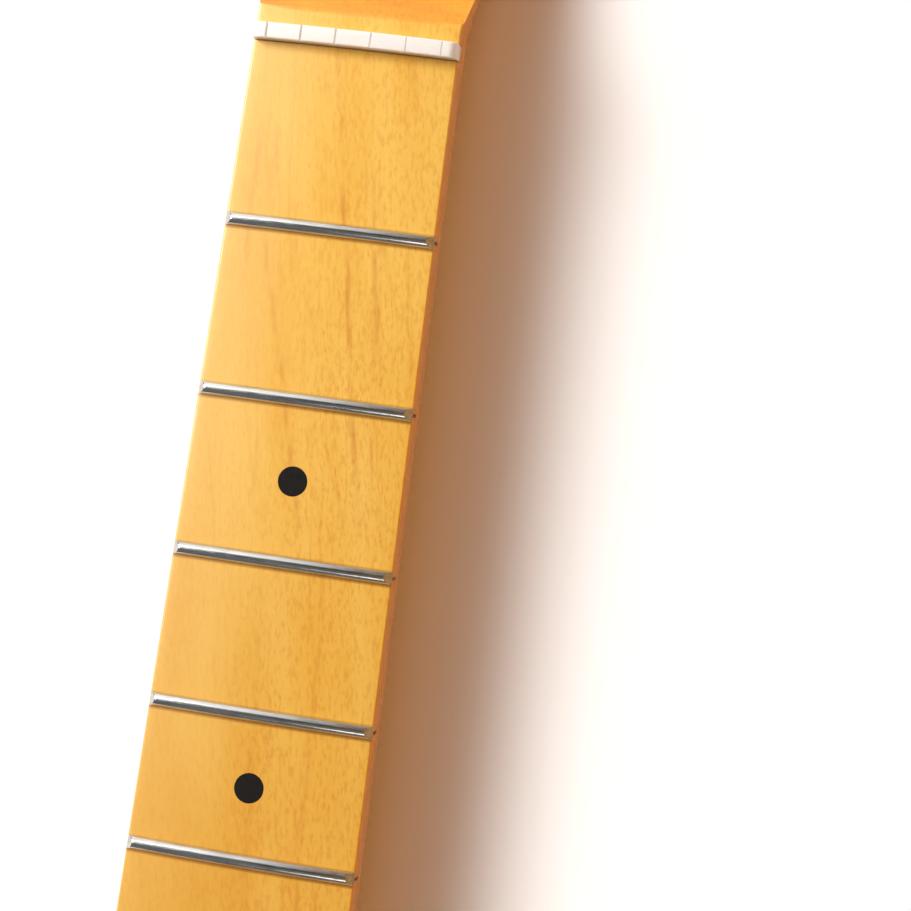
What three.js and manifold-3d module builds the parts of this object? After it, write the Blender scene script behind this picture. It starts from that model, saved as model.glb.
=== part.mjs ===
// Electric guitar neck: bolt-on, six strings, maple with a separate cambered maple fingerboard.
// Millimetres. +X runs from the heel to the headstock, +Y to the bass side, +Z out of the board.
// The origin is the centre of the four-screw pattern on the flat underside of the heel.
import * as THREE from 'three';
import { mergeVertices } from 'three/addons/utils/BufferGeometryUtils.js';
import Module from 'manifold-3d';

const wasm = await Module();
wasm.setup();

// Scale and fingerboard
const scaleLength = 648;
const fretCount = 21;
const fretsPerOctave = 12;
const lastFretToHeelEnd = 7;
const nutWidth = 42;
const heelWidth = 56;
const neckHeight = 25.4;
const boardThickness = 5;
const camberRadius = 241;
const edgeRoll = 0.5;

// Heel
const screwSpacingX = 50.8;
const screwSpacingY = 38.1;
const screwToHeelEnd = 12.7;
const pilotDiameter = 3;
const pilotDepth = 17;
const heelFlatLength = 78;
const heelShoulderLength = 30;
const heelCornerRadius = 9.5;
const heelEdgeRadius = 2.5;

// Shaft: depths are from the crown of the board to the back
const depthAtFirstFret = 20.3;
const depthAtTwelfthFret = 22.3;
const backRoundness = 2.2;
const flareLength = 27;
const flareEndBehindNut = 2.5;

// Headstock: setbacks are measured along X from the nut's front face
const headstockThickness = 14.3;
const headstockDrop = 10.3;
const lastTunerToTip = 16;
const headstockReach = 52;
const headstockEdgeRadius = 2;
const headstockSquareSetback = 40;
const trebleFlareSetback = 6;
const trebleFlareAngle = THREE.MathUtils.degToRad(8);
const bassShoulderSetback = 10;
const tipFlatLength = 14;
const tipCornerLength = 20;
const rampRadius = 60;
const shelfLength = 3.4;
const shelfDrop = 0.4;

// Tuner holes for a six-in-line set
const stringCount = 6;
const stringSpread = 35.7;
const tunerPitch = 25.4;
const firstTunerSetback = 38;
const tunerHoleDiameter = 10;
const tunerPostOffset = 3;
const tunerEdgeMargin = 12.5;

// Nut
const nutThickness = 3.2;
const nutRise = 2.7;
const nutSlotDepth = 2.5;
const nutEndRadius = 2;
const thickStringSlot = 0.5;
const thinStringSlot = 0.18;
const thickStringDepth = 0.5;
const thinStringDepth = 0.2;

// Frets
const fretWidth = 2.7;
const fretHeight = 1.2;
const tangThickness = 0.6;
const tangDepth = 2.4;
const fretEndInset = 0.12;
const fretEndBevel = THREE.MathUtils.degToRad(48);

// Position marks
const dotDiameter = 6;
const dotThickness = 1.8;
const sideDotDiameter = 2;
const sideDotThickness = 2.2;
const sideDotDrop = 3.7;
const doubleDotSpread = 22;
const doubleSideDotSpread = 7;

// Truss rod
const rodDiameter = 4.8;
const sleeveWall = 0.35;
const barHeight = 3;
const barWidth = 5.8;
const endBlockLength = 14;
const endBlockWidth = 5.9;
const headBlockToNut = 6;
const adjusterDiameter = 8;
const adjusterLength = 12;
const adjusterRecess = 6;
const adjusterSocketFlats = 4;
const adjusterSocketDepth = 6;
const rodGrip = 4;

// Clearances and cutting
const fitGap = 0.15;
const runningGap = 0.3;
const turningGap = 0.7;
const cutOverrun = 2;
const sliver = 0.003;

// Facets
const holeSides = 24;
const pilotSides = 12;
const dotSides = 20;
const sideDotSides = 12;
const rodSides = 12;
const hexagonSides = 6;
const camberFacets = 10;
const rollFacets = 3;
const crownFacets = 6;
const fretBendFacets = 6;
const nutEndFacets = 4;
const heelCornerFacets = 6;
const shoulderFacets = 10;
const shaftFacets = 3;
const flareFacets = 8;
const underNutFacets = 4;
const rampFacets = 8;
const headstockFacets = 14;
const tipFacets = 8;
const pathSegments = 40;

// Derived places
const halfTurn = Math.PI;
const fretDistance = (n) => scaleLength * (1 - 2 ** (-n / fretsPerOctave));
const boardLength = fretDistance(fretCount) + lastFretToHeelEnd;
const heelEndX = -(screwSpacingX / 2 + screwToHeelEnd);
const nutX = heelEndX + boardLength;
const crownZ = neckHeight;
const glueZ = neckHeight - boardThickness;
const faceZ = neckHeight - headstockDrop;
const headBackZ = faceZ - headstockThickness;
const shelfZ = crownZ - shelfDrop;
const rampStartX = nutX + nutThickness + shelfLength;
const rampFall = shelfZ - faceZ;
const rampRun = (fall) => Math.sqrt(rampRadius ** 2 - (rampRadius - fall) ** 2);
const rampEndX = rampStartX + rampRun(rampFall);
const glueLineX = rampEndX - rampRun(glueZ - faceZ);
const lastTunerX = nutX + firstTunerSetback + tunerPitch * (stringCount - 1);
const tipX = lastTunerX + lastTunerToTip;

const halfWidthAt = (x) => nutWidth / 2 + ((heelWidth - nutWidth) / 2) * ((nutX - x) / boardLength);
const camberZ = (y) => crownZ - camberRadius + Math.sqrt(camberRadius ** 2 - y ** 2);
const smooth = (t) => THREE.MathUtils.smoothstep(t, 0, 1);
const vector = (x, y, z) => new THREE.Vector3(x, y, z);

// Even steps from a to b, both ends included
const steps = (a, b, count) => {
  const places = [];
  for (let i = 0; i <= count; i += 1) places.push(a + ((b - a) * i) / count);
  return places;
};

// Steps from a to b that crowd towards a, for a corner that starts square to X
const crowdedSteps = (a, b, count) =>
  steps(0, 1, count).map((t) => a + (b - a) * (1 - Math.cos((t * halfTurn) / 2)));

// Places in order along X, without near doubles
const inOrder = (places) =>
  places.sort((a, b) => a - b).filter((x, i) => i === 0 || x - places[i - 1] > fitGap);

// Solids and meshes
const solidOf = (geometry) => {
  geometry.deleteAttribute('normal');
  geometry.deleteAttribute('uv');
  const merged = mergeVertices(geometry);
  const vertProperties = new Float32Array(merged.attributes.position.array);
  const triVerts = new Uint32Array(merged.index.array);
  return new wasm.Manifold(new wasm.Mesh({ numProp: 3, vertProperties, triVerts }));
};

const geometryOf = (solid) => {
  const { vertProperties, triVerts } = solid.getMesh();
  const geometry = new THREE.BufferGeometry();
  geometry.setAttribute('position', new THREE.BufferAttribute(vertProperties, 3));
  geometry.setIndex(new THREE.BufferAttribute(triVerts, 1));
  geometry.computeVertexNormals();
  return geometry;
};

const cut = (geometry, cutters) => {
  let solid = solidOf(geometry);
  for (const cutter of cutters) solid = solid.subtract(solidOf(cutter));
  return geometryOf(solid.simplify(sliver));
};

// A closed skin over rings of equal point counts; flatten gives the ring's plane for the two caps
const loft = (rings, flatten) => {
  const perRing = rings[0].length;
  const positions = rings.flat().flatMap((p) => [p.x, p.y, p.z]);
  const index = [];
  for (let i = 0; i < rings.length - 1; i += 1) {
    for (let k = 0; k < perRing; k += 1) {
      const a = i * perRing + k;
      const b = i * perRing + ((k + 1) % perRing);
      index.push(a, b, b + perRing, a, b + perRing, a + perRing);
    }
  }
  const last = (rings.length - 1) * perRing;
  const cap = (ring) => THREE.ShapeUtils.triangulateShape(ring.map(flatten), []);
  for (const [a, b, c] of cap(rings[0])) index.push(a, c, b);
  for (const [a, b, c] of cap(rings.at(-1))) index.push(last + a, last + b, last + c);
  const geometry = new THREE.BufferGeometry();
  geometry.setAttribute('position', new THREE.Float32BufferAttribute(positions, 3));
  geometry.setIndex(index);
  geometry.computeVertexNormals();
  return geometry;
};
const alongX = (p) => new THREE.Vector2(p.y, p.z);
const alongY = (p) => new THREE.Vector2(p.z, p.x);

// Extrusions of a flat shape: drawn in Y and Z and run along X, or drawn in X and Z and run along Y
const turned = (geometry, x, y, z) => geometry.applyMatrix4(new THREE.Matrix4().makeBasis(x, y, z));
const extrudeAlongX = (shape, fromX, toX) => {
  const geometry = new THREE.ExtrudeGeometry(shape, { depth: toX - fromX, bevelEnabled: false });
  turned(geometry, vector(0, 1, 0), vector(0, 0, 1), vector(1, 0, 0));
  return geometry.translate(fromX, 0, 0);
};
const extrudeAlongY = (shape, fromY, toY) => {
  const geometry = new THREE.ExtrudeGeometry(shape, { depth: toY - fromY, bevelEnabled: false });
  turned(geometry, vector(1, 0, 0), vector(0, 0, 1), vector(0, -1, 0));
  return geometry.translate(0, toY, 0);
};
const boxBetween = (low, high) => {
  const geometry = new THREE.BoxGeometry(high.x - low.x, high.y - low.y, high.z - low.z);
  return geometry.translate((low.x + high.x) / 2, (low.y + high.y) / 2, (low.z + high.z) / 2);
};
const uprightRound = (radius, x, y, lowZ, highZ, sides) =>
  new THREE.CylinderGeometry(radius, radius, highZ - lowZ, sides)
    .rotateX(halfTurn / 2)
    .translate(x, y, (lowZ + highZ) / 2);
const roundAlongX = (radius, fromX, toX, z, sides) =>
  new THREE.CylinderGeometry(radius, radius, toX - fromX, sides)
    .rotateZ(halfTurn / 2)
    .translate((fromX + toX) / 2, 0, z);

// Plan outline of the headstock: two edges, each a path of curves whose X only grows
const tunerY = (i) => stringSpread / 2 + tunerPostOffset - (stringSpread * i) / (stringCount - 1);
const tunerX = (i) => nutX + firstTunerSetback + tunerPitch * i;
const bassLineSlope = stringSpread / (tunerPitch * (stringCount - 1));
const bassLineY = (x) => tunerY(0) + tunerEdgeMargin - (x - tunerX(0)) * bassLineSlope;

const flareHandleShare = 0.36;
const reachHandleShare = 0.3;
const shoulderHandleShare = 0.45;
const cornerHandleShare = 0.55;

const trebleEdgePoints = () => {
  const startX = nutX + trebleFlareSetback;
  const start = new THREE.Vector2(startX, -halfWidthAt(startX));
  const widest = new THREE.Vector2(tipX - tipCornerLength, -headstockReach);
  const run = widest.x - start.x;
  const leave = new THREE.Vector2(Math.cos(trebleFlareAngle), -Math.sin(trebleFlareAngle))
    .multiplyScalar(run * flareHandleShare)
    .add(start);
  const arrive = new THREE.Vector2(widest.x - run * reachHandleShare, widest.y);
  const tip = new THREE.Vector2(tipX, widest.y + tipCornerLength);
  const path = new THREE.CurvePath();
  path.add(new THREE.CubicBezierCurve(start, leave, arrive, widest));
  path.add(
    new THREE.CubicBezierCurve(
      widest,
      new THREE.Vector2(widest.x + tipCornerLength * cornerHandleShare, widest.y),
      new THREE.Vector2(tipX, tip.y - tipCornerLength * cornerHandleShare),
      tip,
    ),
  );
  return path.getPoints(pathSegments);
};

const bassEdgePoints = () => {
  const startX = nutX + bassShoulderSetback;
  const start = new THREE.Vector2(startX, halfWidthAt(startX));
  const shoulder = new THREE.Vector2(tunerX(0), bassLineY(tunerX(0)));
  const lineEnd = new THREE.Vector2(lastTunerX, bassLineY(lastTunerX));
  const tip = new THREE.Vector2(tipX, -headstockReach + tipCornerLength + tipFlatLength);
  const handle = (shoulder.x - start.x) * shoulderHandleShare;
  const arriveX = shoulder.x - handle;
  const leaveX = lineEnd.x + (tipX - lineEnd.x) * cornerHandleShare;
  const path = new THREE.CurvePath();
  path.add(
    new THREE.CubicBezierCurve(
      start,
      new THREE.Vector2(start.x + handle, start.y),
      new THREE.Vector2(arriveX, bassLineY(arriveX)),
      shoulder,
    ),
  );
  path.add(new THREE.LineCurve(shoulder, lineEnd));
  path.add(
    new THREE.CubicBezierCurve(
      lineEnd,
      new THREE.Vector2(leaveX, bassLineY(leaveX)),
      new THREE.Vector2(tipX, (lineEnd.y + tip.y) / 2),
      tip,
    ),
  );
  return path.getPoints(pathSegments);
};

const trebleEdge = trebleEdgePoints();
const bassEdge = bassEdgePoints();

const heightOnPath = (points, x) => {
  const after = points.findIndex((p) => p.x >= x);
  if (after < 0) return points.at(-1).y;
  if (after === 0) return points[0].y;
  const [a, b] = [points[after - 1], points[after]];
  return b.x === a.x ? b.y : a.y + ((b.y - a.y) * (x - a.x)) / (b.x - a.x);
};

const heelCornerInset = (x) => {
  const inward = Math.max(0, heelCornerRadius - (x - heelEndX));
  return heelCornerRadius - Math.sqrt(Math.max(0, heelCornerRadius ** 2 - inward ** 2));
};
const bassY = (x) =>
  x > nutX + bassShoulderSetback ? heightOnPath(bassEdge, x) : halfWidthAt(x) - heelCornerInset(x);
const trebleY = (x) =>
  x > nutX + trebleFlareSetback ? heightOnPath(trebleEdge, x) : heelCornerInset(x) - halfWidthAt(x);

// Top and back of the neck blank along X
const heelFlatEndX = heelEndX + heelFlatLength;
const shoulderEndX = heelFlatEndX + heelShoulderLength;
const flareEndX = nutX + flareEndBehindNut;
const flareStartX = flareEndX - flareLength;

const shaftBackZ = (x) => {
  const fromNut = nutX - x;
  const share = (fromNut - fretDistance(1)) / (fretDistance(fretsPerOctave) - fretDistance(1));
  return crownZ - (depthAtFirstFret + (depthAtTwelfthFret - depthAtFirstFret) * share);
};
const backZ = (x) => {
  if (x <= heelFlatEndX) return 0;
  if (x >= flareEndX) return headBackZ;
  const raised = shaftBackZ(x) * smooth((x - heelFlatEndX) / heelShoulderLength);
  const flare = Math.max(0, (x - flareStartX) / flareLength) ** 2;
  return raised + (headBackZ - shaftBackZ(flareEndX)) * flare;
};
const rampZ = (x) => {
  const run = Math.max(0, rampEndX - x);
  return faceZ + rampRadius - Math.sqrt(Math.max(0, rampRadius ** 2 - run ** 2));
};
const blankTopZ = (x) => (x <= glueLineX ? glueZ : rampZ(x));

// How square a section is: 0 is the rounded back of the shaft, 1 the boxed heel and headstock
const squareStartShare = 0.2;
const squarenessNearNut = (x) => {
  const start = nutX + headstockSquareSetback * squareStartShare;
  return smooth((x - start) / (nutX + headstockSquareSetback - start));
};
const squareness = (x) => {
  if (x >= nutX) return squarenessNearNut(x);
  const fromHeel = 1 - smooth((x - heelFlatEndX) / heelShoulderLength);
  return Math.max(fromHeel, squarenessNearNut(x));
};

// One section of the blank, from the treble top corner round the back to the bass top corner
const sideStepShares = [0, 0.4, 0.75];
const cornerStepShares = [0, 1 / 3, 2 / 3, 1];
const backStepShares = [0.3, 0.65, 1];
const edgeLimitShare = 1 / 3;
const boxedSide = (halfWidth, height, radius) => {
  const points = sideStepShares.map((share) => [halfWidth, (height - radius) * share]);
  for (const share of cornerStepShares) {
    const turn = (share * halfTurn) / 2;
    points.push([halfWidth - radius * (1 - Math.cos(turn)), height - radius * (1 - Math.sin(turn))]);
  }
  for (const share of backStepShares) points.push([(halfWidth - radius) * (1 - share), height]);
  return points;
};
const curvedSide = (halfWidth, height, count) =>
  steps(0, halfTurn / 2, count).map((turn) => [
    halfWidth * Math.cos(turn) ** (2 / backRoundness),
    height * Math.sin(turn) ** (2 / backRoundness),
  ]);

const blankRing = (x) => {
  const [low, high] = [trebleY(x), bassY(x)];
  const middle = (low + high) / 2;
  const halfWidth = (high - low) / 2;
  const top = blankTopZ(x);
  const height = top - backZ(x);
  const edge = x < nutX ? heelEdgeRadius : headstockEdgeRadius;
  const edgeLimit = Math.min(halfWidth, height) * edgeLimitShare;
  const square = boxedSide(halfWidth, height, Math.min(edge, edgeLimit));
  const curve = curvedSide(halfWidth, height, square.length - 1);
  const share = squareness(x);
  const side = square.map(([y, drop], i) => [
    THREE.MathUtils.lerp(Math.max(0, curve[i][0]), y, share),
    THREE.MathUtils.lerp(curve[i][1], drop, share),
  ]);
  const treble = side.map(([y, drop]) => vector(x, middle - y, top - drop));
  const bass = side.slice(0, -1).map(([y, drop]) => vector(x, middle + y, top - drop));
  return [...treble, ...bass.reverse()];
};

const blankStations = () =>
  inOrder([
    ...crowdedSteps(heelEndX, heelEndX + heelCornerRadius, heelCornerFacets),
    ...steps(heelFlatEndX, shoulderEndX, shoulderFacets),
    ...steps(shoulderEndX, flareStartX, shaftFacets),
    ...steps(flareStartX, flareEndX, flareFacets),
    ...steps(flareEndX, glueLineX, underNutFacets),
    ...steps(glueLineX, rampEndX, rampFacets),
    ...steps(rampEndX, lastTunerX, headstockFacets),
    ...crowdedSteps(tipX, lastTunerX, tipFacets),
    tipX - tipCornerLength,
  ]);

// Truss rod levels, from the glue plane down
const sleeveRadius = rodDiameter / 2 + runningGap + sleeveWall;
const barTopZ = glueZ - runningGap;
const barBottomZ = barTopZ - barHeight;
const rodZ = barBottomZ - fitGap - sleeveRadius;
const channelFloorZ = rodZ - sleeveRadius - fitGap;
const channelHalfWidth = sleeveRadius + fitGap;
const adjusterBoreRadius = adjusterDiameter / 2 + turningGap;
const adjusterStartX = heelEndX + adjusterRecess;
const adjusterEndX = adjusterStartX + adjusterLength;
const heelBlockStartX = adjusterEndX + runningGap;
const heelBlockEndX = heelBlockStartX + endBlockLength;
const headBlockEndX = nutX - headBlockToNut;
const headBlockStartX = headBlockEndX - endBlockLength;

const neckBlankGeometry = () => {
  const body = loft(blankStations().map(blankRing), alongX);
  const cutters = [
    roundAlongX(adjusterBoreRadius, heelEndX - cutOverrun, adjusterEndX + fitGap, rodZ, holeSides),
    boxBetween(
      vector(adjusterEndX, -channelHalfWidth, channelFloorZ),
      vector(headBlockEndX + runningGap, channelHalfWidth, glueZ + cutOverrun),
    ),
  ];
  for (const x of [-screwSpacingX / 2, screwSpacingX / 2]) {
    for (const y of [-screwSpacingY / 2, screwSpacingY / 2]) {
      cutters.push(uprightRound(pilotDiameter / 2, x, y, -cutOverrun, pilotDepth, pilotSides));
    }
  }
  for (let i = 0; i < stringCount; i += 1) {
    cutters.push(
      uprightRound(
        tunerHoleDiameter / 2,
        tunerX(i),
        tunerY(i),
        headBackZ - cutOverrun,
        faceZ + cutOverrun,
        holeSides,
      ),
    );
  }
  return cut(body, cutters);
};

// Fingerboard
const boardEndX = glueLineX - fitGap * 2;
const rolledEdge = (x, y, inward) => {
  const flatY = y + inward * edgeRoll;
  const sideTopZ = camberZ(y) - edgeRoll;
  return steps(0, halfTurn / 2, rollFacets).map((turn) =>
    vector(
      x,
      flatY - inward * edgeRoll * Math.cos(turn),
      sideTopZ + (camberZ(flatY) - sideTopZ) * Math.sin(turn),
    ),
  );
};
const boardRing = (x) => {
  const [low, high] = [trebleY(x), bassY(x)];
  const crown = steps(high - edgeRoll, low + edgeRoll, camberFacets).slice(1, -1);
  return [
    vector(x, low, glueZ),
    vector(x, high, glueZ),
    ...rolledEdge(x, high, -1),
    ...crown.map((y) => vector(x, y, camberZ(y))),
    ...rolledEdge(x, low, 1).reverse(),
  ];
};
const boardStations = () =>
  inOrder([
    ...crowdedSteps(heelEndX, heelEndX + heelCornerRadius, heelCornerFacets),
    ...steps(nutX, boardEndX, underNutFacets),
  ]);

// Everything above the nut's seat, the shelf behind it and the ramp down to the headstock
const frontCutter = () => {
  const above = crownZ + cutOverrun;
  const shape = new THREE.Shape();
  shape.moveTo(nutX - fitGap, above);
  shape.lineTo(nutX - fitGap, crownZ - nutSlotDepth);
  shape.lineTo(nutX + nutThickness + fitGap, crownZ - nutSlotDepth);
  shape.lineTo(nutX + nutThickness + fitGap, shelfZ);
  for (const x of steps(rampStartX, glueLineX, rampFacets)) shape.lineTo(x, rampZ(x));
  shape.lineTo(glueLineX + cutOverrun, rampZ(glueLineX + cutOverrun));
  shape.lineTo(glueLineX + cutOverrun, above);
  return extrudeAlongY(shape, -heelWidth, heelWidth);
};

const fretX = (n) => nutX - fretDistance(n);
const betweenFrets = (n) => (fretX(n - 1) + fretX(n)) / 2;

// One mark at every odd step of an octave but its first and last, and two at the octave
const marksAt = (n) => {
  const step = n % fretsPerOctave;
  if (step === 0) return 2;
  return step % 2 === 1 && step > 1 && step < fretsPerOctave - 1 ? 1 : 0;
};
const dotPlaces = () => {
  const places = [];
  for (let n = 1; n <= fretCount; n += 1) {
    const x = betweenFrets(n);
    if (marksAt(n) === 1) places.push({ name: `dot_${n}`, x, y: 0 });
    if (marksAt(n) === 2) {
      places.push({ name: `dot_${n}_treble`, x, y: -doubleDotSpread / 2 });
      places.push({ name: `dot_${n}_bass`, x, y: doubleDotSpread / 2 });
    }
  }
  return places;
};
const sideDotPlaces = () => {
  const places = [];
  for (let n = 1; n <= fretCount; n += 1) {
    const x = betweenFrets(n);
    if (marksAt(n) === 1) places.push({ name: `side_dot_${n}`, x });
    if (marksAt(n) === 2) {
      places.push({ name: `side_dot_${n}_heel`, x: x - doubleSideDotSpread / 2 });
      places.push({ name: `side_dot_${n}_head`, x: x + doubleSideDotSpread / 2 });
    }
  }
  return places;
};

// A disc lying flush in the cambered top at y, grown by gap for its pocket
const topDisc = (x, y, gap, proud) => {
  const radius = dotDiameter / 2 + gap;
  const height = dotThickness + gap + proud;
  return new THREE.CylinderGeometry(radius, radius, height, dotSides)
    .rotateX(halfTurn / 2)
    .translate(0, 0, proud - height / 2 + camberRadius)
    .rotateX(-Math.asin(y / camberRadius))
    .translate(x, 0, crownZ - camberRadius);
};
const sideDisc = (x, gap, proud) => {
  const radius = sideDotDiameter / 2 + gap;
  const height = sideDotThickness + gap + proud;
  return new THREE.CylinderGeometry(radius, radius, height, sideDotSides)
    .translate(x, halfWidthAt(x) + proud - height / 2, crownZ - sideDotDrop);
};

const fingerboardGeometry = () => {
  const board = loft(boardStations().map(boardRing), alongX);
  const cutters = [frontCutter()];
  for (let n = 1; n <= fretCount; n += 1) {
    const half = tangThickness / 2 + fitGap;
    cutters.push(
      boxBetween(
        vector(fretX(n) - half, -heelWidth, camberZ(halfWidthAt(fretX(n))) - tangDepth - runningGap),
        vector(fretX(n) + half, heelWidth, crownZ + cutOverrun),
      ),
    );
  }
  for (const dot of dotPlaces()) cutters.push(topDisc(dot.x, dot.y, fitGap, cutOverrun));
  for (const dot of sideDotPlaces()) cutters.push(sideDisc(dot.x, fitGap, cutOverrun));
  return cut(board, cutters);
};

// Fret wire bent to the camber: crown and tang in one section, ends bevelled
const fretGeometry = (n) => {
  const half = halfWidthAt(fretX(n)) - fretEndInset;
  const profile = steps(halfTurn, 0, crownFacets).map((turn) => [
    (Math.cos(turn) * fretWidth) / 2,
    fitGap + Math.sin(turn) * fretHeight,
  ]);
  profile.push([tangThickness / 2, fitGap]);
  profile.push([tangThickness / 2, -tangDepth]);
  profile.push([-tangThickness / 2, -tangDepth]);
  profile.push([-tangThickness / 2, fitGap]);
  const rings = steps(-1, 1, fretBendFacets).map((share) =>
    profile.map(([x, rise]) => {
      const shortened = half - Math.max(0, rise - fitGap) * Math.tan(fretEndBevel);
      const y = shortened * share;
      return vector(fretX(n) + x, y, camberZ(y) + rise);
    }),
  );
  return loft(rings, alongY);
};

// Nut: an arched bar with rounded ends and six string slots that thin from bass to treble
const nutGeometry = () => {
  const half = halfWidthAt(nutX);
  const floor = crownZ - nutSlotDepth + fitGap;
  const inner = half - nutEndRadius;
  const shape = new THREE.Shape();
  shape.moveTo(-half, floor);
  shape.lineTo(half, floor);
  for (const turn of steps(0, halfTurn / 2, nutEndFacets)) {
    const rise = camberZ(inner) + nutRise - nutEndRadius * (1 - Math.sin(turn));
    shape.lineTo(inner + nutEndRadius * Math.cos(turn), rise);
  }
  const arch = steps(inner, -inner, camberFacets).slice(1, -1);
  for (const y of arch) shape.lineTo(y, camberZ(y) + nutRise);
  for (const turn of steps(halfTurn / 2, 0, nutEndFacets)) {
    const rise = camberZ(inner) + nutRise - nutEndRadius * (1 - Math.sin(turn));
    shape.lineTo(-inner - nutEndRadius * Math.cos(turn), rise);
  }
  const body = extrudeAlongX(shape, nutX, nutX + nutThickness);
  const cutters = [];
  for (let i = 0; i < stringCount; i += 1) {
    const share = i / (stringCount - 1);
    const y = stringSpread * (1 / 2 - share);
    const width = THREE.MathUtils.lerp(thickStringSlot, thinStringSlot, share);
    const depth = THREE.MathUtils.lerp(thickStringDepth, thinStringDepth, share);
    const top = camberZ(y) + nutRise;
    cutters.push(
      boxBetween(
        vector(nutX - cutOverrun, y - width / 2, top - depth),
        vector(nutX + nutThickness + cutOverrun, y + width / 2, top + cutOverrun),
      ),
    );
  }
  return cut(body, cutters);
};

// Truss rod pieces
const roundOutline = (radius, z, sides) =>
  steps(0, halfTurn * 2, sides)
    .slice(0, -1)
    .map((turn) => new THREE.Vector2(radius * Math.cos(turn), z + radius * Math.sin(turn)));
const endBlockGeometry = (fromX, toX) => {
  const shape = new THREE.Shape();
  shape.moveTo(-endBlockWidth / 2, channelFloorZ + fitGap);
  shape.lineTo(endBlockWidth / 2, channelFloorZ + fitGap);
  shape.lineTo(endBlockWidth / 2, barBottomZ - fitGap);
  shape.lineTo(-endBlockWidth / 2, barBottomZ - fitGap);
  shape.holes.push(new THREE.Path(roundOutline(rodDiameter / 2 + runningGap, rodZ, rodSides)));
  return extrudeAlongX(shape, fromX, toX);
};
const sleeveGeometry = () => {
  const shape = new THREE.Shape(roundOutline(sleeveRadius, rodZ, rodSides));
  shape.holes.push(new THREE.Path(roundOutline(sleeveRadius - sleeveWall, rodZ, rodSides)));
  return extrudeAlongX(shape, heelBlockEndX + fitGap, headBlockStartX - fitGap);
};
const barGeometry = () =>
  boxBetween(
    vector(heelBlockStartX, -barWidth / 2, barBottomZ),
    vector(headBlockEndX, barWidth / 2, barTopZ),
  );
const rodGeometry = () =>
  roundAlongX(rodDiameter / 2, adjusterEndX - rodGrip, headBlockEndX, rodZ, rodSides);
const adjusterGeometry = () => {
  const body = roundAlongX(adjusterDiameter / 2, adjusterStartX, adjusterEndX, rodZ, holeSides);
  const socketRadius = adjusterSocketFlats / Math.sqrt(3);
  const socketEndX = adjusterStartX + adjusterSocketDepth;
  const grip = rodDiameter / 2 + fitGap;
  return cut(body, [
    roundAlongX(socketRadius, adjusterStartX - cutOverrun, socketEndX, rodZ, hexagonSides),
    roundAlongX(grip, adjusterEndX - rodGrip - fitGap, adjusterEndX + cutOverrun, rodZ, holeSides),
  ]);
};

// Finishes
const finish = (color, roughness, metalness) => ({ color, roughness, metalness });
const blankMaple = finish(0xf0b040, 0.3, 0);
const boardMaple = finish(0xf4bf68, 0.32, 0);
const bone = finish(0xf6f3ea, 0.35, 0);
const nickelSilver = finish(0xb9bcc0, 0.22, 1);
const blackPlastic = finish(0x33302d, 0.4, 0);
const steel = finish(0x8c9095, 0.4, 1);
const brass = finish(0xb99a55, 0.35, 1);
const clearPlastic = finish(0x3a3c3e, 0.5, 0);

const neck = new THREE.Group();
const addPart = (name, geometry, look) => {
  const mesh = new THREE.Mesh(geometry, new THREE.MeshStandardMaterial(look));
  mesh.name = name;
  neck.add(mesh);
};

addPart('neck_blank', neckBlankGeometry(), blankMaple);
addPart('fingerboard', fingerboardGeometry(), boardMaple);
addPart('nut', nutGeometry(), bone);
for (let n = 1; n <= fretCount; n += 1) {
  addPart(`fret_${String(n).padStart(2, '0')}`, fretGeometry(n), nickelSilver);
}
for (const dot of dotPlaces()) addPart(dot.name, topDisc(dot.x, dot.y, 0, 0), blackPlastic);
for (const dot of sideDotPlaces()) addPart(dot.name, sideDisc(dot.x, 0, 0), blackPlastic);
addPart('truss_rod', rodGeometry(), steel);
addPart('truss_adjusting_nut', adjusterGeometry(), steel);
addPart('truss_flat_bar', barGeometry(), steel);
addPart('truss_heel_block', endBlockGeometry(heelBlockStartX, heelBlockEndX), brass);
addPart('truss_head_block', endBlockGeometry(headBlockStartX, headBlockEndX), brass);
addPart('truss_rod_sleeve', sleeveGeometry(), clearPlastic);

export default neck;
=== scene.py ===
"""Electric guitar neck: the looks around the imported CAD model.

Metres. +X runs from the heel to the headstock, +Y to the bass side, +Z out of the board.
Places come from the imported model; sizes that it doesn't give are properties below.
"""

import itertools
import math

import bmesh
import bpy
import numpy as np
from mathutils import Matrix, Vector
from mathutils.geometry import interpolate_bezier


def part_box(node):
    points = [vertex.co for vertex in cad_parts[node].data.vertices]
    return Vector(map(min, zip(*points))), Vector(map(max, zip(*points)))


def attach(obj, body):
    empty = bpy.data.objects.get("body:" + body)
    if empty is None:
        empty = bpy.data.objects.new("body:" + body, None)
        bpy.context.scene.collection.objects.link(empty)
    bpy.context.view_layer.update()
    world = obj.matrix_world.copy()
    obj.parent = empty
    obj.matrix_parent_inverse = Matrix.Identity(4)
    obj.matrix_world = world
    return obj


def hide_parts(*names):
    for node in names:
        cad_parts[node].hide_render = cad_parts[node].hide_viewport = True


bl_info = {
    "name": "Electric guitar neck",
    "version": (1, 0, 0),
    "blender": (4, 5, 0),
    "location": "View3D > Sidebar > Guitar neck",
    "description": "Builds the pieces and finishes of a maple guitar neck around its CAD model",
    "category": "Object",
}

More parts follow.
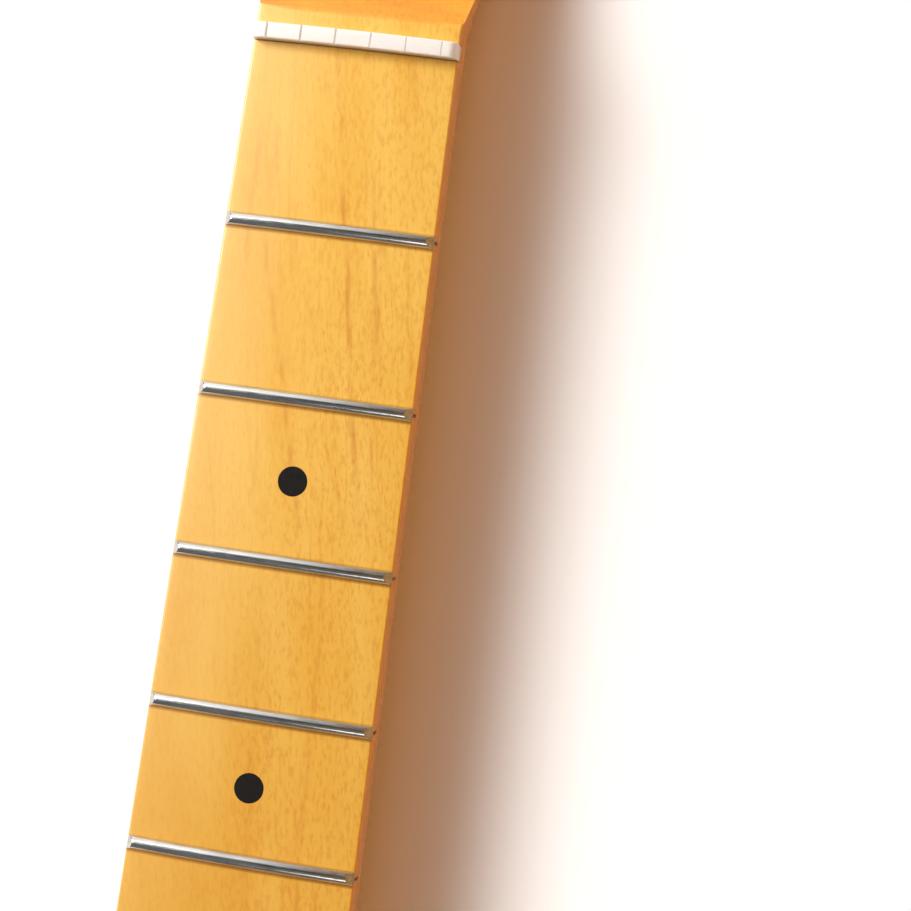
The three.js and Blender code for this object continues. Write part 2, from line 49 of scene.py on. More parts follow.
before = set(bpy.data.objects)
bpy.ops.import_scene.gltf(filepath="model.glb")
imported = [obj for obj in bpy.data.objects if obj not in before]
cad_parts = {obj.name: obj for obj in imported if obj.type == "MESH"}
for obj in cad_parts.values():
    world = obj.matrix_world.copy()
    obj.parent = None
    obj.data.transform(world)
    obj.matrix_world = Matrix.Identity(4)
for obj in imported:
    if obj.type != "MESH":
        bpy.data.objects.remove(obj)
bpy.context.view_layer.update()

MM = 0.001
QUARTER = math.pi / 2
FRETS = sorted(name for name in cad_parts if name.startswith("fret_"))
DOTS = sorted(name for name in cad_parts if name.startswith("dot_"))
SIDE_DOTS = sorted(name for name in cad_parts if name.startswith("side_dot_"))
MARKS = DOTS + SIDE_DOTS
FRETS_PER_OCTAVE = 12
TUNER_COUNT = 6
UP = (0, 0, 1)
ALONG = (1, 0, 0)
# How far cutters reach past the wood
OVERCUT = 1 * MM
# The gap that the CAD model leaves round fitted pieces
FIT_GAP = 0.15 * MM
# Enough to keep two faces from lying in one plane
HAIR = 0.01 * MM
# Eased edges: rims of drilled holes, the blank's edges under the board, the adjusting nut's rims,
# the bone nut, and the fret ends' soft rim
TUNER_RIM = 0.35 * MM
HEEL_RIM = 0.4 * MM
LEAST_EDGE = 0.05 * MM
ADJUSTER_RIM = 0.5 * MM
NUT_EASE = 0.3 * MM
FRET_SOFT = 0.14 * MM
# Handles of the headstock's curves, as shares of their run: a round corner's, where the treble
# edge leaves the shaft, where it is widest, and at the bass shoulder
ROUND_PULL = 0.55
FLARE_PULL = 0.36
WIDEST_PULL = 0.3
SHOULDER_PULL = 0.45
# Where the section starts to square up, as a share of the square setback
SQUARE_START = 0.2
# The paper reaches far past the view, just under the heel
FLOOR_REACH = 12.0
FLOOR_GAP = 0.2 * MM
CAMERA_NEAR = 10 * MM


def linear(hex_colour):
    """An sRGB hex colour as linear red, green and blue."""
    shares = [int(hex_colour[i : i + 2], 16) / 255 for i in (0, 2, 4)]
    return tuple(s / 12.92 if s <= 0.04045 else ((s + 0.055) / 1.055) ** 2.4 for s in shares)


def length(name, description, millimetres):
    """A size in metres, written in millimetres."""
    return bpy.props.FloatProperty(
        name=name, description=description, default=millimetres * MM, unit="LENGTH", precision=5
    )


def colour(name, description, hex_colour):
    """A colour, written as sRGB hex."""
    tone = linear(hex_colour)
    return bpy.props.FloatVectorProperty(
        name=name, description=description, default=tone, subtype="COLOR", min=0, max=1
    )


class NeckSizes(bpy.types.PropertyGroup):
    """Sizes of the wood."""

    scale: length("Scale length", "Nut to bridge", 648)
    nut_width: length("Width at the nut", "Board's width at the nut", 42)
    heel_width: length("Width at the heel", "Board's width at its end", 56)
    board_thickness: length("Board thickness", "Glue line to crown", 5)
    camber_radius: length("Camber radius", "Arch across the board", 241)
    edge_roll: length("Edge roll", "Rounding of the board's long edges", 0.5)
    heel_flat: length("Heel flat", "Length of the heel's flat underside", 78)
    heel_shoulder: length("Heel shoulder", "Length of the rise from heel to shaft", 30)
    heel_corner: length("Heel corner", "Radius of the heel's corners in plan", 9.5)
    heel_edge: length("Heel edge", "Rounding of the heel's lower edges", 2.5)
    depth_first: length("Depth at fret 1", "Crown to back", 20.3)
    depth_twelfth: length("Depth at fret 12", "Crown to back", 22.3)
    flare: length("Back flare", "Length of the curve from shaft to headstock", 27)
    flare_end: length("Flare end", "Distance from the nut to the end of the back's curve", 2.5)
    back_roundness: bpy.props.FloatProperty(
        name="Back roundness", description="2 is an ellipse, more is fuller", default=2.2
    )


class HeadstockSizes(bpy.types.PropertyGroup):
    """Sizes of the headstock, set back from the nut's front face."""

    drop: length("Drop", "Crown to headstock face", 10.3)
    thickness: length("Thickness", "Face to back", 14.3)
    reach: length("Reach", "Middle line to the treble edge", 52)
    edge: length("Edge rounding", "Back edges", 2)
    face_edge: length("Face edge rounding", "Face edges", 1)
    square_setback: length("Square setback", "Where the section is fully square", 40)
    treble_setback: length("Treble flare setback", "Where the treble edge leaves the shaft", 6)
    treble_angle: bpy.props.FloatProperty(
        name="Treble flare angle", description="Between shaft and treble edge",
        default=math.radians(8), subtype="ANGLE",
    )
    bass_setback: length("Bass shoulder setback", "Where the bass edge leaves the shaft", 10)
    tip_flat: length("Tip flat", "Straight end of the tip", 14)
    tip_corner: length("Tip corner", "Size of the treble corner's curve", 20)
    ramp_radius: length("Ramp radius", "Curve from the nut's shelf to the face", 60)
    shelf: length("Shelf", "Flat wood between nut and ramp", 3.4)
    shelf_drop: length("Shelf drop", "Crown to shelf", 0.4)
    string_spread: length("String spread", "Outer string to outer string at the nut", 35.7)
    tuner_pitch: length("Tuner pitch", "Between tuner holes", 25.4)
    first_tuner: length("First tuner", "Nut to the first tuner hole", 38)
    tuner_hole: length("Tuner hole", "Diameter", 10)
    post_offset: length("Post offset", "Tuner hole's middle to its string", 3)
    edge_margin: length("Edge margin", "Tuner hole's middle to the bass edge", 12.5)


class FittingSizes(bpy.types.PropertyGroup):
    """Sizes of nut, frets, marks and truss rod."""

    nut_depth: length("Nut slot depth", "Crown to the nut's seat", 2.5)
    nut_rise: length("Nut rise", "Crown to the nut's top", 2.7)
    nut_end: length("Nut end", "Rounding of the nut's upper corners", 2)
    nut_foot: length("Nut foot", "Rounding of the nut's lower corner", 1.2)
    thick_slot: length("Thick string slot", "Width", 0.5)
    thin_slot: length("Thin string slot", "Width", 0.18)
    thick_depth: length("Thick string slot depth", "Below the nut's top", 0.5)
    thin_depth: length("Thin string slot depth", "Below the nut's top", 0.2)
    fret_width: length("Fret width", "Crown", 2.7)
    fret_height: length("Fret height", "Crown above the board", 1.2)
    tang_thickness: length("Tang thickness", "Fret's foot", 0.6)
    tang_depth: length("Tang depth", "Fret's foot", 2.4)
    saw_kerf: length("Saw kerf", "Width of the fret slots", 0.68)
    fret_bevel: bpy.props.FloatProperty(
        name="Fret end bevel", description="From upright", default=math.radians(48), subtype="ANGLE"
    )
    pilot_hole: length("Pilot hole", "Diameter of the heel's screw holes", 3)
    pilot_depth: length("Pilot depth", "Depth of the heel's screw holes", 17)
    pilot_spacing_x: length("Pilot spacing, long", "Along the neck", 50.8)
    pilot_spacing_y: length("Pilot spacing, wide", "Across the neck", 38.1)
    adjuster_bore: length("Adjuster bore", "Diameter", 9.4)
    socket_flats: length("Socket", "Across the flats of the adjuster's socket", 4)
    socket_depth: length("Socket depth", "Depth of the adjuster's socket", 6)


class Finishes(bpy.types.PropertyGroup):
    """Colours of the finishes and of the studio; some of the wood's and the nut's stand in for
    painted light and shade.
    """

    board_light: colour("Board, light", "Tinted lacquer over pale maple", "F7CA62")
    board_deep: colour("Board, deep", "Tinted lacquer over darker maple", "EEB53F")
    blank_light: colour("Neck, light", "Tinted lacquer over pale maple", "F9C83A")
    blank_deep: colour("Neck, deep", "Tinted lacquer over darker maple", "EFAA24")
    # Painted reflection: a paler bass side near the nut stands in for the lamps' gloss reflection
    # on the board
    painted_bass_sheen: colour("Painted bass sheen", "Paler wood along the board's bass side", "FBE7AE")
    streak: colour("Mineral streak", "Reddish lines in the maple", "C8701F")
    fleck: colour("Fleck", "Short dark marks in the maple", "D98A2B")
    # Side grain and painted shade: deeper orange on the sides, and on treble-facing faces, which is
    # drawn for shade
    side_grain_and_shade: colour("Side grain and shade", "Sides and edges, where the tint gathers", "E88C04")
    # Painted shade: multiplied in darker towards the heel and on the bass side, for the fading
    # gloss reflection
    painted_falloff_tint: colour("Painted falloff tint", "What thicker lacquer past the first frets lets by", "E5D7B8")
    # Painted shadow: the board is drawn darker along the frets' feet
    fret_shadow_tint: colour("Fret shadow tint", "What the lacquer at the frets' feet lets by", "BFAF9E")
    # Partly painted shade: the ramp's tint is deepened to stand for the reflection that the slanted
    # cut doesn't catch
    ramp_tint_and_shade: colour("Ramp tint and shade", "What slanting cuts take up beyond the flat wood", "FFD35A")
    bone: colour("Bone", "Bleached bone", "F7F4F0")
    bone_pore: colour("Bone pore", "Pores of the bone", "EFE4D7")
    # Painted shade on the nut's heel-facing face
    nut_face_shade: colour("Nut face shade", "Lacquer against the nut's foot", "8A5A34")
    nickel: colour("Nickel silver", "Fret wire", "D9D8D2")
    black: colour("Black plastic", "Position marks", "1C1B1A")
    filler: colour("Slot filler", "Lacquer and wood dust", "6A3408")
    steel: colour("Steel", "Truss rod", "9A9DA0")
    brass: colour("Brass", "Truss rod end blocks", "C9A75C")
    sleeve: colour("Sleeve", "Polyolefin tube", "2B2C2E")
    wall: colour("Wall", "The room's treble side, mirrored by bevels and edges", "B08456")
    room: colour("Room", "The dim room overhead, where it is brightest", "6A6C70")
    paper: colour("Paper", "Floor paper, as it lights the neck", "F1F1F1")
    paper_seen: colour("Paper, seen", "Floor paper, as the camera and mirrors see it", "FFFFFF")


def radiance(name, description, value):
    """A strength of light, where 1 is white."""
    return bpy.props.FloatProperty(name=name, description=description, default=value, min=0)


class Studio(bpy.types.PropertyGroup):
    """Camera and light."""

    camera_place: bpy.props.FloatVectorProperty(
        name="Camera", description="Place",
        default=(0.338080, -0.100395, 0.452890), subtype="TRANSLATION",
    )
    camera_turn: bpy.props.FloatVectorProperty(
        name="Camera turn", description="Rotation", subtype="EULER",
        default=(math.radians(2.4365), math.radians(8.8831), math.radians(-81.8724)),
    )
    lens: bpy.props.FloatProperty(
        name="Lens", description="Focal length", default=87.33, subtype="DISTANCE_CAMERA"
    )
    key: radiance("Key", "Softbox's radiance", 21.8)
    skirt: radiance("Skirt", "Radiance of the softbox's dim near edge", 0.3)
    card: radiance("Card", "Radiance of the white card past the headstock", 1.3)
    window: radiance("Window", "Radiance of the small window past the heel", 3.0)


class NeckPlan:
    """The neck's shape laws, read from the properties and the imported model."""

    def __init__(self, context):
        self.neck = context.scene.neck_sizes
        self.head = context.scene.headstock_sizes
        self.fit = context.scene.fitting_sizes
        blank_low, blank_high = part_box("neck_blank")
        nut_low, nut_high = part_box("nut")
        self.heel_x = blank_low.x
        self.tip_x = blank_high.x
        self.nut_x = nut_low.x
        self.nut_back_x = nut_high.x
        self.crown_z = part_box("fingerboard")[1].z
        self.glue_z = self.crown_z - self.neck.board_thickness
        self.face_z = self.crown_z - self.head.drop
        self.head_back_z = self.face_z - self.head.thickness
        self.shelf_z = self.crown_z - self.head.shelf_drop
        self.ramp_start = self.nut_back_x + self.head.shelf
        self.ramp_end = self.ramp_start + self.ramp_run(self.shelf_z - self.face_z)
        self.glue_line_x = self.ramp_end - self.ramp_run(self.glue_z - self.face_z)
        self.flat_end = self.heel_x + self.neck.heel_flat
        self.shoulder_end = self.flat_end + self.neck.heel_shoulder
        self.flare_end = self.nut_x + self.neck.flare_end
        self.flare_start = self.flare_end - self.neck.flare
        self.last_tuner_x = self.tuner(TUNER_COUNT - 1)[0]
        self.treble_path = self.treble_edge()
        self.bass_path = self.bass_edge()
        self.outline = self.whole_outline()

    def ramp_run(self, fall):
        """How far before its end the ramp stands that high above it."""
        radius = self.head.ramp_radius
        return math.sqrt(radius**2 - (radius - fall) ** 2)

    def half_width(self, x):
        """Half the board's width, which tapers straight from heel to nut."""
        narrow, wide = self.neck.nut_width / 2, self.neck.heel_width / 2
        return narrow + (wide - narrow) * (self.nut_x - x) / (self.nut_x - self.heel_x)

    def camber_z(self, y):
        """Height of the cambered top at a place across."""
        radius = self.neck.camber_radius
        return self.crown_z - radius + math.sqrt(radius**2 - y**2)

    def tuner(self, i):
        """A tuner hole's place in plan, counted from the nut."""
        head = self.head
        string = head.string_spread * (0.5 - i / (TUNER_COUNT - 1))
        return self.nut_x + head.first_tuner + head.tuner_pitch * i, string + head.post_offset

    def bass_line(self, x):
        """The headstock's straight bass edge, along the tuner holes."""
        head = self.head
        slope = head.string_spread / (head.tuner_pitch * (TUNER_COUNT - 1))
        first_x, first_y = self.tuner(0)
        return first_y + head.edge_margin - (x - first_x) * slope

    def treble_edge(self):
        """The treble edge from the shaft round the corner to the tip."""
        head = self.head
        start_x = self.nut_x + head.treble_setback
        start = Vector((start_x, -self.half_width(start_x)))
        widest = Vector((self.tip_x - head.tip_corner, -head.reach))
        run = widest.x - start.x
        away = Vector((math.cos(head.treble_angle), -math.sin(head.treble_angle)))
        tip = Vector((self.tip_x, widest.y + head.tip_corner))
        pull = head.tip_corner * ROUND_PULL
        arrive = widest - Vector((run * WIDEST_PULL, 0))
        return smooth_path(
            (start, start + away * run * FLARE_PULL, arrive, widest),
            (widest, widest + Vector((pull, 0)), tip - Vector((0, pull)), tip),
        )

    def bass_edge(self):
        """The bass edge from the shaft along the tuners to the tip."""
        head = self.head
        start_x = self.nut_x + head.bass_setback
        start = Vector((start_x, self.half_width(start_x)))
        first_x, last_x = self.tuner(0)[0], self.last_tuner_x
        shoulder = Vector((first_x, self.bass_line(first_x)))
        line_end = Vector((last_x, self.bass_line(last_x)))
        tip = Vector((self.tip_x, head.tip_corner + head.tip_flat - head.reach))
        run = (shoulder.x - start.x) * SHOULDER_PULL
        arrive = Vector((first_x - run, self.bass_line(first_x - run)))
        corner_x = last_x + (self.tip_x - last_x) * ROUND_PULL
        above_tip = Vector((self.tip_x, (line_end.y + tip.y) / 2))
        return smooth_path(
            (start, start + Vector((run, 0)), arrive, shoulder),
            (shoulder, shoulder.lerp(line_end, 1 / 3), shoulder.lerp(line_end, 2 / 3), line_end),
            (line_end, Vector((corner_x, self.bass_line(corner_x))), above_tip, tip),
        )

    def corner_inset(self, x):
        """How far the heel's round corners draw the sides in."""
        radius = self.neck.heel_corner
        inward = max(0, radius - (x - self.heel_x))
        return radius - math.sqrt(max(0, radius**2 - inward**2))

    def treble_y(self, x):
        """The treble side of board, shaft and headstock."""
        if x > self.nut_x + self.head.treble_setback:
            return float(np.interp(x, self.treble_path[:, 0], self.treble_path[:, 1]))
        return self.corner_inset(x) - self.half_width(x)

    def bass_y(self, x):
        """The bass side of board, shaft and headstock."""
        if x > self.nut_x + self.head.bass_setback:
            return float(np.interp(x, self.bass_path[:, 0], self.bass_path[:, 1]))
        return self.half_width(x) - self.corner_inset(x)

    def whole_outline(self):
        """The plan outline as one closed line, for distances to it."""
        corner = spread(self.heel_x, self.heel_x + self.neck.heel_corner, 24, crowd=True)
        bass_end = self.nut_x + self.head.bass_setback
        treble_end = self.nut_x + self.head.treble_setback
        bass = [(x, self.bass_y(x)) for x in [*corner, bass_end]]
        treble = [(x, self.treble_y(x)) for x in [*corner, treble_end]]
        return np.array([*bass, *self.bass_path[1:], *self.treble_path[:0:-1], *treble[::-1]])

    def edge_distance(self, points):
        """How far each plan point is from the outline."""
        starts = self.outline
        runs = np.roll(starts, -1, axis=0) - starts
        away = points[:, None, :] - starts[None]
        lengths = np.maximum((runs**2).sum(1), 1e-16)
        along = np.clip((away * runs).sum(2) / lengths, 0, 1)
        return np.sqrt(((away - along[..., None] * runs) ** 2).sum(2).min(1))

    def shaft_back(self, x):
        """Height of the shaft's back, from its depths at frets 1 and 12."""
        first, octave = self.fret_distance(1), self.fret_distance(FRETS_PER_OCTAVE)
        deeper = (self.nut_x - x - first) / (octave - first)
        neck = self.neck
        return self.crown_z - (neck.depth_first + (neck.depth_twelfth - neck.depth_first) * deeper)

    def fret_distance(self, n):
        """From the nut to a fret, in equal temperament."""
        return self.neck.scale * (1 - 2 ** (-n / FRETS_PER_OCTAVE))

    def back_z(self, x):
        """Height of the underside: heel, rise, shaft, flare and headstock."""
        if x <= self.flat_end:
            return 0.0
        if x >= self.flare_end:
            return self.head_back_z
        raised = self.shaft_back(x) * ease((x - self.flat_end) / self.neck.heel_shoulder)
        flare = max(0, (x - self.flare_start) / self.neck.flare) ** 2
        return raised + (self.head_back_z - self.shaft_back(self.flare_end)) * flare

    def ramp_z(self, x):
        """Height of the ramp, and past its end of the headstock's face."""
        radius = self.head.ramp_radius
        run = max(0, self.ramp_end - x)
        return self.face_z + radius - math.sqrt(max(0, radius**2 - run**2))

    def top_z(self, x):
        """Height of the blank's top: the glue line, then the ramp and the face."""
        return self.glue_z if x <= self.glue_line_x else self.ramp_z(x)

    def squareness(self, x):
        """How square the section is: 0 on the shaft, 1 at heel and headstock."""
        start = self.nut_x + self.head.square_setback * SQUARE_START
        near_nut = ease((x - start) / (self.nut_x + self.head.square_setback - start))
        if x >= self.nut_x:
            return near_nut
        return max(1 - ease((x - self.flat_end) / self.neck.heel_shoulder), near_nut)

    def face_edge(self, x):
        """Rounding of the blank's upper edges: none under the board, full on the headstock."""
        run = self.ramp_end - self.glue_line_x
        return LEAST_EDGE + (self.head.face_edge - LEAST_EDGE) * ease((x - self.glue_line_x) / run)


def ease(t):
    """A share of 0 to 1, smoothed towards both."""
    t = min(1, max(0, t))
    return t * t * (3 - 2 * t)


def spread(a, b, count, crowd=False):
    """Places from a to b, both included; crowd packs them towards a."""
    shares = [i / count for i in range(count + 1)]
    if crowd:
        shares = [1 - math.cos(s * QUARTER) for s in shares]
    return [a + (b - a) * s for s in shares]


def smooth_path(*curves):
    """Joined cubic curves as an array of plan points."""
    points = []
    for knot_a, handle_a, handle_b, knot_b in curves:
        flat = interpolate_bezier(knot_a, handle_a, handle_b, knot_b, 49)
        points += [(p.x, p.y) for p in flat[1 if points else 0 :]]
    return np.array(points)


def skin(name, rings, ends=None):
    """A closed mesh over rings of equal point counts; ends are the faces over each end ring."""
    count = len(rings[0])
    last = (len(rings) - 1) * count
    faces = [
        (low + k, low + (k + 1) % count, low + count + (k + 1) % count, low + count + k)
        for low in range(0, last, count)
        for k in range(count)
    ]
    for end in ends or [range(count)]:
        faces += [tuple(end), tuple(last + k for k in end)]
    return mesh_object(name, [p for ring in rings for p in ring], faces)


def mesh_object(name, points, faces):
    """An object from points and faces, its faces turned outward and doubles merged."""
    mesh = bpy.data.meshes.new(name)
    mesh.from_pydata([tuple(p) for p in points], [], faces)
    shape = bmesh.new()
    shape.from_mesh(mesh)
    bmesh.ops.remove_doubles(shape, verts=shape.verts, dist=1e-7)
    bmesh.ops.recalc_face_normals(shape, faces=shape.faces)
    shape.to_mesh(mesh)
    shape.free()
    return placed(name, mesh)


def placed(name, data):
    """Data as an object in the scene."""
    made = bpy.data.objects.new(name, data)
    bpy.context.scene.collection.objects.link(made)
    return made


def turns(sides):
    """Equal turns round a circle."""
    return [math.tau * k / sides for k in range(sides)]


def arc(x, z, radius, start, count):
    """A quarter circle about a point, from a start in quarter turns."""
    return [
        (x + radius * math.cos(turn), z + radius * math.sin(turn))
        for turn in spread(start * QUARTER, (start + 1) * QUARTER, count)
    ]


def rod_rings(centre, axis, stations, sides):
    """Rings round a line: stations are (distance along it, radius)."""
    axis = Vector(axis).normalized()
    side = axis.orthogonal().normalized()
    up = axis.cross(side)
    spokes = [side * math.cos(turn) + up * math.sin(turn) for turn in turns(sides)]
    return [
        [Vector(centre) + axis * along + spoke * radius for spoke in spokes]
        for along, radius in stations
    ]


def joined(name, pieces):
    """Several mesh objects as one."""
    gathered = bmesh.new()
    for piece in pieces:
        gathered.from_mesh(piece.data)
        bpy.data.objects.remove(piece)
    mesh = bpy.data.meshes.new(name)
    gathered.to_mesh(mesh)
    gathered.free()
    return placed(name, mesh)


def carve(piece, cutter):
    """Takes the cutter's shape out of the piece, and removes the cutter."""
    step = piece.modifiers.new("carve", "BOOLEAN")
    step.operation = "DIFFERENCE"
    step.solver = "EXACT"
    step.material_mode = "TRANSFER"
    step.object = cutter
    bpy.context.view_layer.update()
    graph = bpy.context.evaluated_depsgraph_get()
    cut = bpy.data.meshes.new_from_object(piece.evaluated_get(graph))
    piece.modifiers.clear()
    piece.data = cut
    bpy.data.objects.remove(cutter)
    if not cut.polygons:
        raise RuntimeError(f"{piece.name} is empty after carving")


def hand_over(piece, body="neck", material=None, replaces=(), sharp=28):
    """Shades a piece, gives it its material and ties it to the CAD model; sharp is in degrees."""
    if material:
        piece.data.materials.clear()
        piece.data.materials.append(material)
    piece.data.shade_smooth()
    piece.data.set_sharp_from_angle(angle=math.radians(sharp))
    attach(piece, body)
    if replaces:
        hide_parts(*replaces)


def add(tree, kind, *values, **options):
    """Adds a node with its settings and links.

    Values feed its live inputs in order, and an option in capitals feeds the input of that name;
    each is a constant, an output or a node, which stands for its first live output.
    """
    made = tree.nodes.new("ShaderNode" + kind)
    for key, value in options.items():
        if not key[0].isupper():
            setattr(made, key, value)
    feeds = list(zip([socket for socket in made.inputs if socket.enabled], values))
    feeds += [(made.inputs[k.replace("_", " ")], v) for k, v in options.items() if k[0].isupper()]
    for socket, value in feeds:
        if isinstance(value, bpy.types.Node):
            value = next(output for output in value.outputs if output.enabled)
        if isinstance(value, bpy.types.NodeSocket):
            tree.links.new(value, socket)
        else:
            socket.default_value = (*value, 1) if socket.type == "RGBA" else value
    return made


def share(tree, *bands):
    """The product of its bands.

    A band is a value, or (value, from, to), which eases from 0 at from to 1 at to; two more
    numbers stand for other ends than 0 and 1.
    """
    product = None
    for band in bands:
        if isinstance(band, tuple):
            band = add(tree, "MapRange", *band, interpolation_type="SMOOTHSTEP")
        if product is not None:
            band = add(tree, "Math", product, band, operation="MULTIPLY")
        product = band
    return product


def lay(tree, tone, colour, *bands, blend="MIX"):
    """Lays a colour over a tone, as far as the product of the bands."""
    amount = share(tree, *bands)
    return add(tree, "Mix", amount, tone, colour, data_type="RGBA", blend_type=blend)


def grain(tree, size, detail=2.0, offset=(0, 0, 0), turn=0.0):
    """Noise whose marks have that size in millimetres along X, Y and Z; about 0.5 on average.

    The offset is in marks; turn swings the marks' long direction in plan.
    """
    place = add(tree, "TexCoord").outputs["Object"]
    sizes = [s * MM for s in size]
    shift = [-o * s for o, s in zip(offset, sizes)]
    scaled = add(tree, "Mapping", place, shift, (0, 0, turn), sizes, vector_type="TEXTURE")
    return add(tree, "TexNoise", scaled, Scale=1.0, Detail=detail)


def finished(name, recipe, *details, kind="BsdfPrincipled", **settings):
    """A material whose one shader takes the sockets that the recipe gives for it."""
    material = bpy.data.materials.new(name)
    material.use_nodes = True
    tree = material.node_tree
    tree.nodes.clear()
    shader = add(tree, kind, **recipe(tree, *details, **settings))
    add(tree, "OutputMaterial", shader)
    return material


def scaled_tone(colour, factor):
    """A colour made lighter or darker."""
    return tuple(channel * factor for channel in colour)


# Mineral streaks of the board: where each starts and ends from the nut, its place across at its
# start, its drift across per length along, its width and its strength; lengths in millimetres.
BOARD_STREAKS = (
    (-14, 98, 5.9, -0.185, 1.0, 0.50),
    (20, 62, -6.6, -0.165, 0.8, 0.34),
    (14, 52, 16.8, -0.02, 1.2, 0.26),
    (14, 40, 13.9, -0.13, 0.9, 0.22),
    (34, 100, 14.2, -0.27, 1.0, 0.32),
    (38, 92, -9.9, -0.12, 0.7, 0.24),
    (94, 190, -8.4, -0.06, 0.9, 0.26),
    (100, 210, 4.0, -0.09, 1.2, 0.24),
    (210, 380, 11.0, -0.02, 0.8, 0.25),
    (330, 470, -3.0, -0.03, 1.0, 0.28),
)


def lacquered_maple(tree, finishes, light, deep, seed, turn=0.0, board=False):
    """Flat-sawn hard maple, sanded and sprayed with amber-tinted gloss lacquer.

    It gives the eye a warm, slightly cloudy wood with soft wavering lines and short flecks
    along the grain, a few reddish mineral lines, deeper amber where a cut slants across the
    grain (on the ramp partly painted shade), and a clear wet gloss over all of it. Some of its
    colour is painted light and shade: a paler bass side near the nut and a darkening towards the
    heel for the lamps' reflection, deeper orange on treble-facing and upright sides for shade,
    and shadow along the frets' feet.
    """
    shift = (seed, seed * 1.7, seed * 0.6)
    nut_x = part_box("nut")[0].x
    x, y, z = add(tree, "SeparateXYZ", add(tree, "TexCoord").outputs["Object"]).outputs

    def marks(*size, detail=2):
        return grain(tree, size, detail, shift, turn)

    tone = lay(tree, light, deep, (marks(60, 11, 11, detail=3), 0.28, 0.74), 0.8)
    # Growth lines, 1.5 to 3 mm apart: ripples of a long noise
    wave = add(tree, "Math", share(tree, marks(90, 7, 7), 11.0), 1.0, operation="PINGPONG")
    lines = share(tree, (wave, 0.72, 1.0), (marks(40, 9, 9, detail=1), 0.42, 0.62))
    tone = lay(tree, tone, finishes.fleck, lines, 0.20)
    # Fibres, drawn 0.35 mm wide where real ones are under 0.1 mm
    fibre = share(tree, (marks(14, 0.35, 0.35, detail=3), 0.35, 0.72))
    tone = lay(tree, tone, deep, fibre, 0.20)
    # The figure grows towards the treble side, where the cut meets the rays more squarely
    figure = (y, 14 * MM, -10 * MM, 0.35, 1.0)
    # Mottle, light and dark patches 0.7 by 2 mm
    mottle = marks(2.0, 0.65, 0.65)
    tone = lay(tree, tone, finishes.fleck, (mottle, 0.48, 0.68), figure, 0.32)
    tone = lay(tree, tone, light, (mottle, 0.48, 0.28), 0.28)
    # Ray flecks, 1 to 2 mm long and 0.3 mm wide, in drifts
    rays = share(tree, (marks(1.6, 0.32, 0.32, detail=1), 0.58, 0.72), figure)
    drifts = grain(tree, (50, 15, 15), 1, (seed + 3, 2, 1))
    tone = lay(tree, tone, finishes.fleck, rays, (drifts, 0.38, 0.64, 0.3, 1.0), 0.42)
    if board:
        for streak in BOARD_STREAKS:
            tone = lay(tree, tone, finishes.streak, *mineral_line(tree, *streak))
    # Painted shade: the wood is drawn darker towards the heel, more so on the bass side, so that
    # near the nut it looks lit by the lamps' gloss reflection, which fades towards the heel
    thick = share(tree, (x, nut_x + 20 * MM, nut_x - 210 * MM), (y, -14 * MM, 6 * MM, 0.72, 1.0))
    tone = lay(tree, tone, finishes.painted_falloff_tint, thick, blend="MULTIPLY")
    if board:
        # Painted reflection: the bass side towards the nut is drawn paler, standing in for the
        # lamps' gloss reflection there
        pale = share(tree, (y, 2 * MM, 17 * MM, 0.0, 0.13), (x, nut_x - 200 * MM, nut_x - 40 * MM))
        tone = lay(tree, tone, finishes.painted_bass_sheen, pale)
        # Painted shadow along the frets' feet, darkest on the heel side
        tone = lay(tree, tone, finishes.fret_shadow_tint, painted_fret_shadow(tree, x, nut_x), blend="MULTIPLY")
    facing = add(tree, "SeparateXYZ", add(tree, "NewGeometry").outputs["Normal"]).outputs
    along, across, up = (add(tree, "Math", axis, operation="ABSOLUTE") for axis in facing)
    # Slanting cuts take up more tint, most of all the ramp, where the growth layers show as bands;
    # the ramp's deeper amber is also partly painted shade, for the gloss reflection it lacks
    ramp_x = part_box("nut")[1].x + bpy.context.scene.headstock_sizes.shelf
    waver = grain(tree, (5, 4, 900), 2, shift)
    reach = add(tree, "Math", waver, 2 * MM, x, operation="MULTIPLY_ADD")
    on_ramp = (reach, ramp_x + 0.4 * MM, ramp_x + 2.2 * MM, 0.35, 1.0)
    slant = share(tree, (along, 0.04, 0.25), on_ramp)
    layer = (grain(tree, (70, 22, 0.8), 2, shift), 0.46, 0.66)
    tone = lay(tree, tone, finishes.ramp_tint_and_shade, slant, blend="MULTIPLY")
    tone = lay(tree, tone, finishes.streak, slant, layer, 0.25)
    # Painted shade: faces turned to the treble side, the board's treble roll most of all, are drawn
    # deeper orange, as they face away from the key light
    tone = lay(tree, tone, finishes.side_grain_and_shade, (facing[1], -0.09, -0.5, 0.0, 0.75))
    # Sides: upright faces beside the board are drawn deeper orange, partly the side grain's tint
    # and partly painted shade for the shaded treble flank; the rays show as short flames
    glue_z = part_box("fingerboard")[0].z
    by_board = (z, glue_z - 9 * MM, glue_z - 1 * MM, 0.15, 1.0)
    flank = share(tree, (up, 0.8, 0.2), (across, 0.4, 0.8), by_board)
    flame = (grain(tree, (3.0, 3.0, 1.1), 2, shift), 0.50, 0.68)
    tone = lay(tree, tone, finishes.side_grain_and_shade, flank, 0.85)
    tone = lay(tree, tone, finishes.streak, flank, flame, 0.30)
    # End grain at the heel and the tip: darker, with pores as dots
    pores = (grain(tree, (0.5, 0.5, 0.5), 2, shift), 0.42, 0.62, 0.25, 0.7)
    tone = lay(tree, tone, finishes.streak, (along, 0.75, 0.97), pores)
    return {
        "Base_Color": tone,
        "Roughness": 0.5,
        "Specular_IOR_Level": 0.2,
        "Coat_Weight": 1.0,
        "Coat_Roughness": 0.24,
        "Coat_IOR": 1.5,
        "Normal": add(tree, "Bump", Height=fibre, Strength=0.2, Distance=0.01 * MM),
    }


